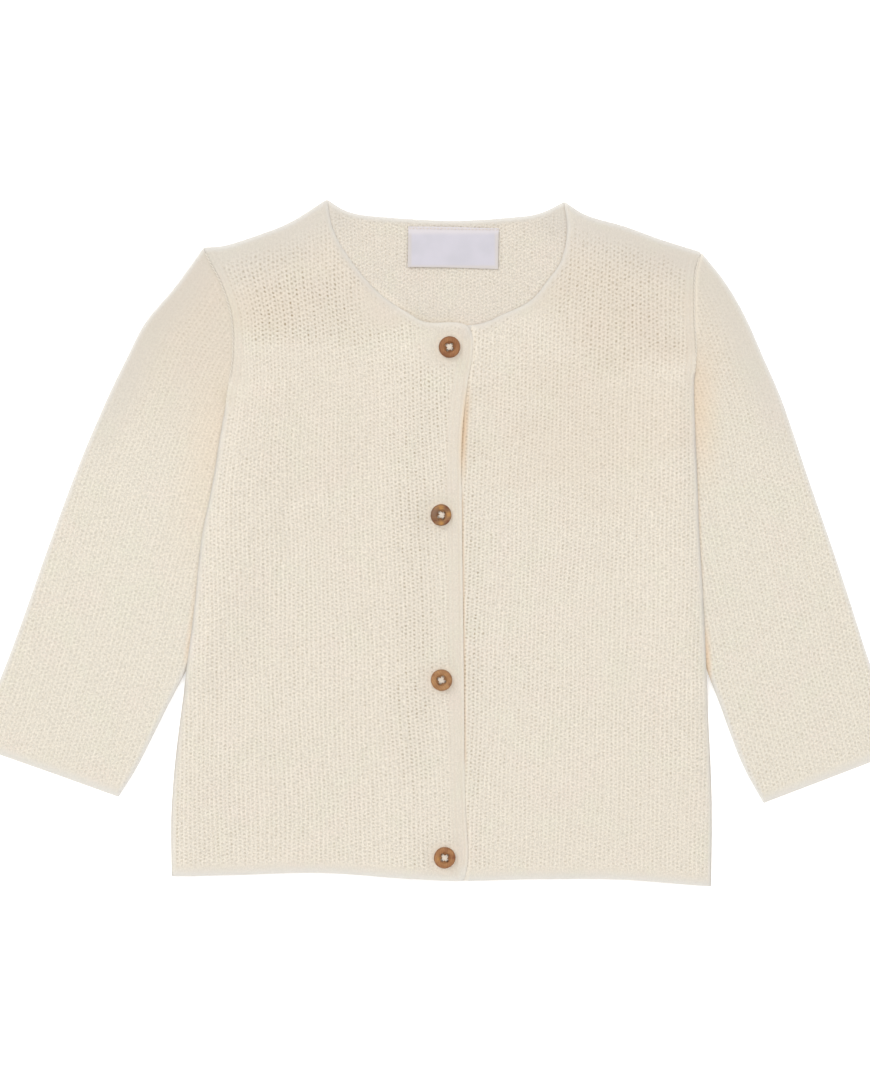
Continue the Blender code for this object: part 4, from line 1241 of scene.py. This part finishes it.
def make_back(material):
    """The back: every stitch inside the neck, and a plain skin where the fronts cover it."""
    right_top, left_top = (above(edge, NECK_WINDOW) for edge in (RIGHT_EDGE, LEFT_EDGE))
    right_low, left_low = (below(edge, NECK_WINDOW) for edge in (RIGHT_EDGE, LEFT_EDGE))
    top = (
        ("armhole", left_top),
        ("shoulder", smooth_line(LEFT_SHOULDER)),
        ("back_neck", smooth_line(BACK_NECK)[::-1]),
        ("shoulder", smooth_line(RIGHT_SHOULDER)[::-1]),
        ("armhole", right_top[::-1]),
    )
    upper = Outline(("end", [right_top[0], left_top[0]]), *top)
    points, uv, triangles = lattice(back_place, upper, (-66, 76), (-4, 40))
    loop = rim_loop(triangles)
    seam = loop[np.abs(points[loop, 1] - NECK_WINDOW) < 1e-6]
    seam = seam[np.argsort(points[seam, 0])]
    ring = np.vstack([points[seam], left_low[::-1][1:], HEM_LINE[::-1][1:], right_low[1:-1]])
    everything, lower_triangles = coarse_skin(ring, PLAIN_PITCH, PLAIN_MARGIN)
    extra = everything[len(seam) :]
    merged = np.vstack([points, extra])
    index = np.concatenate([seam, len(points) + np.arange(len(extra))])
    skin = np.vstack([triangles, index[lower_triangles]])
    whole = Outline(("hem", HEM_LINE), ("side", left_low), *top, ("side", right_low[::-1]))
    all_uv = np.vstack([uv, (extra - (0.0, BACK_START)) / (BACK_WALE_PITCH, BACK_COURSE_PITCH)])
    z, values = knit_top(merged, all_uv, whole, back_under, False, BACK_TAPERS)
    signed, _, kinds = whole.measure(extra)
    thick = (WALL - taper(kinds, BACK_TAPERS)[0]) * (1 - strongest(EDGE_SLOPES, kinds))
    z[len(points) :] = back_under(extra[:, 0], extra[:, 1]) + thick - STITCH_SINK * ramp(signed, 0.0, WALL)
    values["modelled"] = (np.arange(len(merged)) < len(points)).astype(float)
    # Painted light on the back beside the right front's neck edge, which evens out the shade under the lap,
    # and painted shade beside the left front's neck edge.
    away, _ = nearest(smooth_line(RIGHT_NECK), merged)
    light_beside_lap = 0.44 * fade(away, 0.3, 3.8) * fade(merged[:, 1], 110.0, 135.0)
    values["pale"] = np.max([values["pale"], LIGHT_PAINTED_EDGES["neck"] * near(away), light_beside_lap], axis=0)
    away, _ = nearest(smooth_line(LEFT_NECK), merged)
    values["shade"] = np.maximum(values["shade"], 0.30 * fade(away, 0.4, 1.4))
    cloth = Cloth(with_height(merged, z), all_uv, skin, **values)
    return closed(cloth, "back_knit", whole, back_under, BACK_TAPERS, material)


# ---------------------------------------------------------------- sleeves
FOLD_RADIUS = SLEEVE_HEIGHT / 2
OPEN_RIM = 0.3  # height of the lower skin's rim at the cuff and at the armhole

# What differs between the sides. The swing is how far the wales turn from the outer fold, in degrees, holes
# and relief are how strong they are, shade is how much painted shade the sleeve gets near the shoulder,
# and the glows are its strips of painted warm shade.
Side = collections.namedtuple(
    "Side", "outward edge armhole_low folds wale_pitch swing holes relief shade glows"
)
RIGHT = Side(
    outward=-1, edge=RIGHT_EDGE, armhole_low=RIGHT_ARMHOLE_LOW, folds=RIGHT_SLEEVE,
    wale_pitch=RIGHT_SLEEVE_WALE_PITCH, swing=4.0, holes=0.75, relief=0.45, shade=0.52, glows=RIGHT_WARM_SHADES,
)
LEFT = Side(
    outward=1, edge=LEFT_EDGE, armhole_low=LEFT_ARMHOLE_LOW, folds=LEFT_SLEEVE,
    wale_pitch=LEFT_SLEEVE_WALE_PITCH, swing=-5.0, holes=1.05, relief=0.7, shade=0.32, glows=LEFT_WARM_SHADES,
)


def sleeve_outline(side):
    """Plan outline of a sleeve: its two folds, its cuff, and the open end at the armhole."""
    outer = smooth_line([row[0:2] for row in side.folds])
    inner = smooth_line([row[2:4] for row in side.folds])
    share = (side.armhole_low - SIDE_SPAN[0]) / (SIDE_SPAN[1] - SIDE_SPAN[0])
    low, high = side.edge[0, 1], side.edge[-1, 1]
    beside = above(side.edge, low + share * (high - low)) + (side.outward * ARMHOLE_GAP, 0.0)
    return Outline(
        ("fold", outer),
        ("cuff", [outer[-1], inner[-1]]),
        ("fold", inner[::-1]),
        ("end", np.vstack([inner[0], beside, outer[0]])),
    )


def fold_height(distance):
    """Half height of the flattened tube by distance from its nearest fold."""
    t = np.clip(1 - distance / FOLD_RADIUS, 0.0, 1.0)
    return FOLD_RADIUS * np.sqrt(1 - t * t)


def paint_sleeve(side, x, y, by_kind, beside_fold):
    """The sleeve's painted light and shade: strips of warm shade and shade beside the body, painted light
    beside its edge, grey shade along the outer fold, and cool shade at the edges.
    """
    edge = side.edge
    warm_shade = np.max([shade_strip(x, y, edge, row) for row in side.glows], axis=0)
    from_shoulder = np.hypot(x - side.folds[0][0], y - side.folds[0][1])
    shade = side.shade * fade(from_shoulder, 20.0, 120.0)
    beside_body = near(np.abs(x - x_on(edge, y)))
    # Painted light beside the body's edge, which evens out the shade there.
    pale = 0.5 * LIGHT_PAINTED_EDGES["side"] * beside_body * (y < side.armhole_low)
    if side is LEFT:
        pale = np.maximum(pale, 0.45 * beside_body * ramp(y, 92.0, 106.0))
        shade = np.maximum(shade, shade_strip(x, y, edge, UNDERARM_SHADE)) + shade_strip(x, y, edge, ARMHOLE_SHADE)
    # Painted grey shade along the upper part of the outer fold.
    grey = 0.30 * fade(beside_fold, 4.0, 20.0) * ramp(y, 20.0, 80.0)
    cool = strongest(COOL_SHADE_EDGES, by_kind)
    return dict(warm_shade=warm_shade, shade=shade, pale=pale, grey=grey, cool=cool, modelled=1.0)


def make_sleeve(name, side, material):
    """A sleeve: a flattened tube, knitted above, open at the armhole and at the cuff."""
    outline = sleeve_outline(side)
    place = sleeve_place(side.folds, side.wale_pitch, -side.outward, side.swing)
    points, uv, triangles = lattice(place, outline, (-16, 62), (0, 150))
    if turns(points, triangles).sum() < 0:
        triangles = triangles[:, ::-1]
    loop = rim_loop(triangles)
    _, _, by_kind = outline.measure(points)
    x, y = points[:, 0], points[:, 1]
    beside_fold, _ = nearest(outline.lines[0], points)
    relief = relief_share(by_kind) * (1 - 0.8 * fade(beside_fold, 5.0, 18.0) * ramp(y, 30.0, 90.0))
    strength = side.holes * hole_strength(uv, x, y, np.zeros(len(x)))
    height = knit_height(uv, x, y, relief, side.relief, strength, by_kind)
    height = height * ramp(by_kind["fold"], 0.0, FOLD_RADIUS)
    z = FOLD_RADIUS + fold_height(by_kind["fold"])
    z = z + height * ramp(np.minimum(by_kind["cuff"], by_kind["end"]), 0.0, 0.8)
    z = z - WALL * strongest(EDGE_SLOPES, by_kind) * ramp(by_kind["fold"], 0.0, FOLD_RADIUS)
    painted = paint_sleeve(side, x, y, by_kind, beside_fold)
    cloth = Cloth(with_height(points, z), uv, triangles, relief=relief, open=strength, **painted)

    # The upper wall's rim is the loop outside and ring_b inside, the lower wall's ring_c inside and ring_d
    # outside. At the folds the two outer rings meet, and so do the two inner ones.
    rim_uv, fold_distance = uv[loop], by_kind["fold"][loop]
    rim_xy = points[loop]
    inner_xy = rim_xy + inward_shift(rim_xy, outline)
    folded = fold_distance < 1e-3
    opened = ~folded

    def ring_beside(ring, xy, level):
        new = ring.copy()
        new[opened] = cloth.add(with_height(xy[opened], level), rim_uv[opened]) + np.arange(opened.sum())
        return new

    here = np.arange(len(loop))
    ring_d = ring_beside(loop, rim_xy, OPEN_RIM)
    ring_b = cloth.add(with_height(inner_xy, np.where(folded, FOLD_RADIUS, LAYER)), rim_uv) + here
    ring_c = ring_beside(ring_b, inner_xy, WALL)
    add_layer(cloth, rim_xy, ring_d, outline, lambda d: FOLD_RADIUS - fold_height(d), True)
    add_layer(cloth, inner_xy, ring_b, outline, lambda d: np.full(len(d), LAYER), True)
    add_layer(cloth, inner_xy, ring_c, outline, lambda d: np.full(len(d), WALL), False)
    after = np.roll(here, -1)
    open_edge = ~(folded & folded[after])
    for first, second in ((loop, ring_b), (ring_c, ring_d)):
        cloth.join(first, second, here[open_edge], after[open_edge])
    return cloth.mesh(name, material)


def inward_shift(rim, outline):
    """From each rim point, the way to the tube's inner skin, which lies a wall inside the folds."""
    shift = np.zeros_like(rim)
    outer, inner = outline.lines[0], outline.lines[2]
    for line, other in ((outer, inner), (inner, outer)):
        distance, _ = nearest(line, rim)
        _, across = nearest(other, rim)
        way = across - rim
        way = way / np.maximum(np.hypot(*way.T), 1e-6)[:, None]
        shift += way * (WALL * np.clip(1 - distance / 8.0, 0.0, 1.0))[:, None]
    return shift


def add_layer(cloth, rim_xy, ring, outline, height, facing_down):
    """A plain skin of the tube over its rim."""
    everything, triangles = coarse_skin(rim_xy, PLAIN_PITCH, PLAIN_MARGIN)
    inner = everything[len(rim_xy) :]
    _, _, by_kind = outline.measure(inner)
    uv = inner / (RIGHT_SLEEVE_WALE_PITCH, SLEEVE_COURSE_PITCH)
    first = cloth.add(with_height(inner, height(by_kind["fold"])), uv, relief=1.0)
    index = np.concatenate([ring, first + np.arange(len(inner))])
    found = index[triangles]
    cloth.triangles.append(found[:, ::-1] if facing_down else found)


SEAM_LOW = 2.0  # how far above the armhole's lowest point the seam starts
SEAM_MARGINS = 2.0  # length of the line that its stitches leave free
SEAM_START = 1.2  # where the first stitch has its middle
SEAM_PITCH = 1.9
SEAM_HALF_STITCH = 0.95
SEAM_SLANT = 0.30
SEAM_RISE = 0.12
SEAM_YARN = 0.27
SEAM_LEVEL = SLEEVE_HEIGHT + 0.10


def make_armhole_seam(name, side, material):
    """The linked seam between the body and a sleeve: a chain of slanting stitches along the join."""
    line = above(side.edge, side.armhole_low + SEAM_LOW) + (side.outward * ARMHOLE_GAP / 2, 0.0)
    line = eased(line)
    run = run_along(line)
    mesh_data = bmesh.new()
    for k in range(int((run[-1] - SEAM_MARGINS) / SEAM_PITCH)):
        ends = []
        for half in (-SEAM_HALF_STITCH, SEAM_HALF_STITCH):
            at = [np.interp(SEAM_START + k * SEAM_PITCH + half, run, line[:, axis]) for axis in (0, 1)]
            ends.append(Vector((*at, SEAM_LEVEL)))
        way = (ends[1] - ends[0]).normalized()
        slant = Vector((-way.y, way.x, 0)) * SEAM_SLANT
        tube(mesh_data, arch(ends[0] - slant, ends[1] + slant, SEAM_RISE, 6), SEAM_YARN, 8)
    return finish_mesh(name, mesh_data, material)


# ---------------------------------------------------------------- label
LABEL_SIZE = (43.5, 19.6)
LABEL_THICKNESS = 0.275
LABEL_CENTRE = (7.8, 142.3)
LABEL_TURN_DEG = -1.0
LABEL_GRID = (88, 40)  # faces across and along
LABEL_GAP = 0.1  # between the label's sewn edge and the back
LABEL_LIFT = 0.55  # how far the free lower edge stands off
LABEL_BEND = 0.25  # how far the edges wave up and down
PUCKER, PUCKERS, PUCKERED = 0.05, 24, 0.8  # height, number, and share of the length above which they show
MARGIN, MARGIN_WIDTH = 0.12, 1.2  # height and width of the thicker tape along the side edges
LABEL_STITCHES = 26
LABEL_STITCH = (0.45, 0.25)  # half length of a stitch, and how far it slants
STITCH_INSET, STITCH_LEVEL, STITCH_RISE, STITCH_RADIUS = 0.75, 0.42, 0.18, 0.16


def make_label(material, thread):
    """The bare woven label, sewn on along its upper edge, with its lower edge a little off the cloth."""
    columns, rows = LABEL_GRID
    width, length = LABEL_SIZE
    mesh_data = bmesh.new()
    grid = {}
    for side, i, j in itertools.product((0, 1), range(columns + 1), range(rows + 1)):
        s, t = i / columns, j / rows
        y = (t - 0.5) * length + LABEL_BEND * math.sin(3.1 * s + 0.4)
        lift = LABEL_LIFT * (1 - t) ** 2 * (0.6 + 0.4 * math.sin(5.0 * s + 1.0))
        pucker = PUCKER * math.sin(TAU * s * PUCKERS) * max(0.0, t - PUCKERED) / (1 - PUCKERED)
        margin = MARGIN if min(s, 1 - s) * width < MARGIN_WIDTH else 0.0
        z = lift + pucker + margin + side * LABEL_THICKNESS
        grid[side, i, j] = mesh_data.verts.new(((s - 0.5) * width * MM, y * MM, z * MM))
    for i, j, side in itertools.product(range(columns), range(rows), (0, 1)):
        face = [grid[side, i + a, j + b] for a, b in ((0, 0), (1, 0), (1, 1), (0, 1))]
        mesh_data.faces.new(face if side else face[::-1])
    rim = [(i, 0) for i in range(columns)] + [(columns, j) for j in range(rows)]
    rim += [(columns - i, rows - j) for i, j in rim]
    for a, b in zip(rim, rim[1:] + rim[:1]):
        mesh_data.faces.new((grid[(0, *a)], grid[(0, *b)], grid[(1, *b)], grid[(1, *a)]))
    place = Matrix.Translation([value * MM for value in (*LABEL_CENTRE, WALL + LABEL_GAP)])
    place = place @ Matrix.Rotation(math.radians(LABEL_TURN_DEG), 4, "Z")
    label = finish_mesh("neck_label_tape", mesh_data, material, place)
    stitches = bmesh.new()
    for k in range(LABEL_STITCHES):
        x = ((k + 0.5) / LABEL_STITCHES - 0.5) * width
        half, slant = LABEL_STITCH
        slant = slant if k % 2 else -slant
        y = length / 2 - STITCH_INSET
        ends = [(x + half * way, y + slant * way, STITCH_LEVEL) for way in (-1, 1)]
        tube(stitches, arch(*ends, STITCH_RISE, 6), STITCH_RADIUS, 6)
    return label, finish_mesh("neck_label_stitches", stitches, thread, place)


# ---------------------------------------------------------------- small meshes
def finish_mesh(name, mesh_data, material, place=None):
    """An object from a bmesh in metres, smoothly shaded."""
    mesh = bpy.data.meshes.new(name)
    if place is not None:
        bmesh.ops.transform(mesh_data, matrix=place, verts=mesh_data.verts)
    mesh_data.normal_update()
    mesh_data.to_mesh(mesh)
    mesh_data.free()
    mesh.shade_smooth()
    mesh.set_sharp_from_angle(angle=SHARP_ANGLE)
    mesh.materials.append(material)
    return linked(name, mesh)


def arch(start, end, rise, steps):
    """Points of a low arch between two places, mm."""
    a, b = Vector(start), Vector(end)
    shares = [k / steps for k in range(steps + 1)]
    return [a.lerp(b, t) + Vector((0, 0, rise * math.sin(math.pi * t))) for t in shares]


def tube(mesh_data, path, radius, sides):
    """A round strand along a path, closed at both ends, mm."""
    angles = [TAU * m / sides for m in range(sides)]
    rings = []
    for k, p in enumerate(path):
        way = (path[min(k + 1, len(path) - 1)] - path[max(k - 1, 0)]).normalized()
        side = way.cross(Vector((0.1, 0.2, 1.0))).normalized()
        up = side.cross(way)
        thin = 0.6 if k in (0, len(path) - 1) else 1.0
        reaches = [(side * math.cos(a) + up * math.sin(a)) * radius * thin for a in angles]
        rings.append([mesh_data.verts.new((p + reach) * MM) for reach in reaches])
    for low, high in zip(rings, rings[1:]):
        for m in range(sides):
            n = (m + 1) % sides
            mesh_data.faces.new((low[m], low[n], high[n], high[m]))
    mesh_data.faces.new(rings[0][::-1])
    mesh_data.faces.new(rings[-1])


# ---------------------------------------------------------------- buttons
BUTTON_RADIUS = 5.2
BUTTON_SIDES = 96
KNOT_HEIGHT, KNOT_RADIUS = 0.5, 1.9  # the thread under a button, which lifts one that leans
HOLE_RADIUS = 0.75
HOLE_OFFSET = 1.15
HOLE_SIDES = 24
BUTTON_SECTION = (  # radius, height: from the middle of the dish over the rim to the underside
    (0.0, 1.55), (1.6, 1.56), (2.25, 1.66), (2.55, 1.95), (2.75, 2.28), (3.05, 2.44), (3.6, 2.50),
    (4.2, 2.42), (4.65, 2.22), (4.98, 1.90), (5.15, 1.50), (5.20, 1.10), (5.08, 0.60), (4.75, 0.20),
    (4.20, 0.02), (0.0, 0.0),
)


def button_frame(number):
    """The button's frame in the garment: its origin at the middle of its underside."""
    x, y, lean, turn = BUTTONS[number - 1]
    tilt = math.sin(math.radians(abs(lean)))
    knot = KNOT_HEIGHT + KNOT_RADIUS * tilt + 2 * SEAM_GAP
    rim = BUTTON_RADIUS * tilt + SEAM_GAP
    place = Matrix.Translation(Vector((x, y, 2 * LAYER + WALL + max(knot, rim))) * MM)
    return place @ Matrix.Rotation(math.radians(turn), 4, "Z") @ Matrix.Rotation(math.radians(lean), 4, "Y")


def hole_places():
    """The four holes, round the button."""
    return [(sx * HOLE_OFFSET, sy * HOLE_OFFSET) for sx, sy in ((-1, -1), (1, -1), (1, 1), (-1, 1))]


def make_button(number, material):
    """One turned button with a dished middle and four drilled holes."""
    mesh_data = bmesh.new()
    rings = []
    wobble = np.random.default_rng(40 + number).uniform(0, TAU, 3)
    for r, z in BUTTON_SECTION[1:-1]:
        ring = []
        for angle in (TAU * k / BUTTON_SIDES for k in range(BUTTON_SIDES)):
            uneven = 1 + 0.006 * math.sin(2 * angle + wobble[0]) + 0.004 * math.sin(3 * angle + wobble[1])
            across = r * (uneven if r > 4 else 1.0)
            place = (across * math.cos(angle) * MM, across * math.sin(angle) * MM, z * MM)
            ring.append(mesh_data.verts.new(place))
        rings.append(ring)
    top, bottom = (mesh_data.verts.new((0, 0, BUTTON_SECTION[k][1] * MM)) for k in (0, -1))
    for k in range(BUTTON_SIDES):
        n = (k + 1) % BUTTON_SIDES
        mesh_data.faces.new((top, rings[0][k], rings[0][n]))
        mesh_data.faces.new((bottom, rings[-1][n], rings[-1][k]))
        for inner, outer in zip(rings, rings[1:]):
            mesh_data.faces.new((inner[k], outer[k], outer[n], inner[n]))
    bmesh.ops.recalc_face_normals(mesh_data, faces=mesh_data.faces)
    solid = finish_mesh(f"button_{number}_solid", mesh_data, material)
    drills = bmesh.new()
    for x, y in hole_places():
        size = dict(segments=HOLE_SIDES, radius1=HOLE_RADIUS * MM, radius2=HOLE_RADIUS * MM, depth=6 * MM)
        middle = Matrix.Translation((x * MM, y * MM, 1.0 * MM))
        bmesh.ops.create_cone(drills, cap_ends=True, matrix=middle, **size)
    drill = finish_mesh(f"button_{number}_drill", drills, material)
    cut = solid.modifiers.new("holes", "BOOLEAN")
    cut.operation, cut.solver, cut.object = "DIFFERENCE", "EXACT", drill
    evaluated = solid.evaluated_get(bpy.context.evaluated_depsgraph_get())
    mesh = bpy.data.meshes.new_from_object(evaluated)
    mesh.shade_smooth()
    mesh.set_sharp_from_angle(angle=BUTTON_SHARP_ANGLE)
    for helper in (solid, drill):
        bpy.data.objects.remove(helper, do_unlink=True)
    button = linked(f"button_{number}_wood", mesh)
    button.matrix_world = button_frame(number)
    return button


STRAND_UNEVEN = 0.04
STRAND_OVER, STRAND_RISE = 0.34, 0.22  # a strand's height over the dish at its ends, and its rise between
CROSSING = 0.2  # how much higher the second pair of holes' strands run, over the first pair's
LEG_HEIGHTS = (-1.3, -0.2)  # ends of a strand's leg in its hole, below the dish
STRAND_PITCH = 0.28
STRAND_RADIUS = 0.19
STRANDS = (-2, -1, 0, 1, 2)  # the strands of each way across, counted from the middle one


def make_thread(number, material):
    """The thread of one button: crossed strands over the dish, and their legs down the holes."""
    strands = bmesh.new()
    corners = hole_places()
    rng = np.random.default_rng(90 + number)
    floor = BUTTON_SECTION[0][1]
    for (ax, ay), (bx, by), rise in ((corners[0], corners[2], 0.0), (corners[1], corners[3], CROSSING)):
        side = Vector((ay - by, bx - ax, 0)).normalized()
        for k in STRANDS:
            shift = side * (STRAND_PITCH * k + rng.uniform(-STRAND_UNEVEN, STRAND_UNEVEN))
            over = floor + STRAND_OVER + rng.uniform(-0.04, 0.10) + rise
            heights = [(0.0, floor + z) for z in LEG_HEIGHTS]
            heights += [(t, over + STRAND_RISE * math.sin(math.pi * t)) for t in (0.1, 0.3, 0.5, 0.7, 0.9)]
            heights += [(1.0, floor + z) for z in LEG_HEIGHTS[::-1]]
            a, b = Vector((ax, ay, 0)) + shift, Vector((bx, by, 0)) + shift
            tube(strands, [a.lerp(b, t) + Vector((0, 0, z)) for t, z in heights], STRAND_RADIUS, 8)
    thread = finish_mesh(f"button_{number}_strands", strands, material)
    thread.matrix_world = button_frame(number)
    return thread


# ---------------------------------------------------------------- floor, camera and light
def make_floor():
    """The plain pale surface that the garment lies on."""
    mesh_data = bmesh.new()
    bmesh.ops.create_grid(mesh_data, x_segments=1, y_segments=1, size=3.0)
    n = Nodes("pale floor")
    base = n.layers((0.94, 0.94, 0.94, 1.0), (n.noise(n.place, 3.0), (0.96, 0.96, 0.96, 1.0)))
    white = (1.0, 1.0, 1.0, 1.0)
    shine = dict(Emission_Color=white, Emission_Strength=0.28)
    material = n.surface(Base_Color=base, Roughness=0.95, Specular_IOR_Level=0.1, **shine)
    finish_mesh("floor", mesh_data, material, Matrix.Translation((0, 0, -0.0002)))


def make_camera():
    """Straight above the garment, taking in what the picture does."""
    camera = bpy.data.cameras.new("camera")
    camera.lens, camera.sensor_width, camera.clip_start = LENS, SENSOR, 0.01
    eye = linked("camera", camera)
    eye.location = Vector((*PHOTO_CENTRE, PHOTO_HEIGHT * LENS / SENSOR + CLOTH_LEVEL)) * MM
    bpy.context.scene.camera = eye


def make_light():
    """A white surround and one large soft lamp above the neck."""
    world = bpy.data.worlds.new("surround")
    world.use_nodes = True
    background = world.node_tree.nodes["Background"].inputs
    background["Color"].default_value = (1.0, 0.99, 0.975, 1.0)
    background["Strength"].default_value = 1.06
    bpy.context.scene.world = world
    lamp = bpy.data.lights.new("soft lamp", "AREA")
    lamp.shape, lamp.size, lamp.energy, lamp.color = "DISK", 1.5, 19.0, (1.0, 0.985, 0.96)
    thing = linked("soft lamp", lamp)
    thing.location = (-1.25, 1.35, 2.5)
    thing.rotation_euler = (-thing.location).to_track_quat("-Z", "Y").to_euler()
    bpy.context.scene.view_settings.view_transform = "Standard"


# ---------------------------------------------------------------- the whole garment
def main():
    """Builds the looks around the frame."""
    inner, sleeve = rgb(218, 211, 200), rgb(221, 215, 203)
    body_knit = knit_material("cream cotton knit", rgb(223, 216, 204), rgb(219, 212, 200), 0.72, 0.06, 0.60)
    back_knit = knit_material("cream cotton knit, inner side", inner, inner, 0.58, 0.0, 0.1)
    sleeve_knit = knit_material("cream cotton knit, sleeves", sleeve, sleeve, 0.50, 0.04, 0.5)
    thread = thread_material("cream thread", rgb(224, 214, 201), rgb(182, 162, 138))
    seam_yarn = thread_material("cream seam yarn", rgb(231, 225, 214), rgb(212, 201, 184))

    front_right = make_front_right(body_knit)
    front_left = make_front_left(body_knit)
    back = make_back(back_knit)
    sleeve_right = make_sleeve("sleeve_right_knit", RIGHT, sleeve_knit)
    sleeve_left = make_sleeve("sleeve_left_knit", LEFT, sleeve_knit)
    label, label_stitches = make_label(label_material(), thread)
    right_seam = make_armhole_seam("armhole_right_seam", RIGHT, seam_yarn)
    left_seam = make_armhole_seam("armhole_left_seam", LEFT, seam_yarn)
    pieces = [
        (front_right, "front_right", "knit"),
        (front_left, "front_left", "knit"),
        (back, "back", "knit"),
        (sleeve_right, "sleeve_right", "knit"),
        (sleeve_left, "sleeve_left", "knit"),
        (label, "neck_label", "label"),
        (label_stitches, None, "thread"),
        (right_seam, None, "knit"),
        (left_seam, None, "knit"),
    ]
    for number in range(1, len(BUTTONS) + 1):
        pieces.append((make_button(number, wood_material(number)), f"button_{number}", "button"))
        pieces.append((make_thread(number, thread), f"button_thread_{number}", "thread"))
    for piece, node, slot in pieces:
        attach(piece, "root")
        if node:
            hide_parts(node)

    make_floor()
    make_camera()
    make_light()


main()
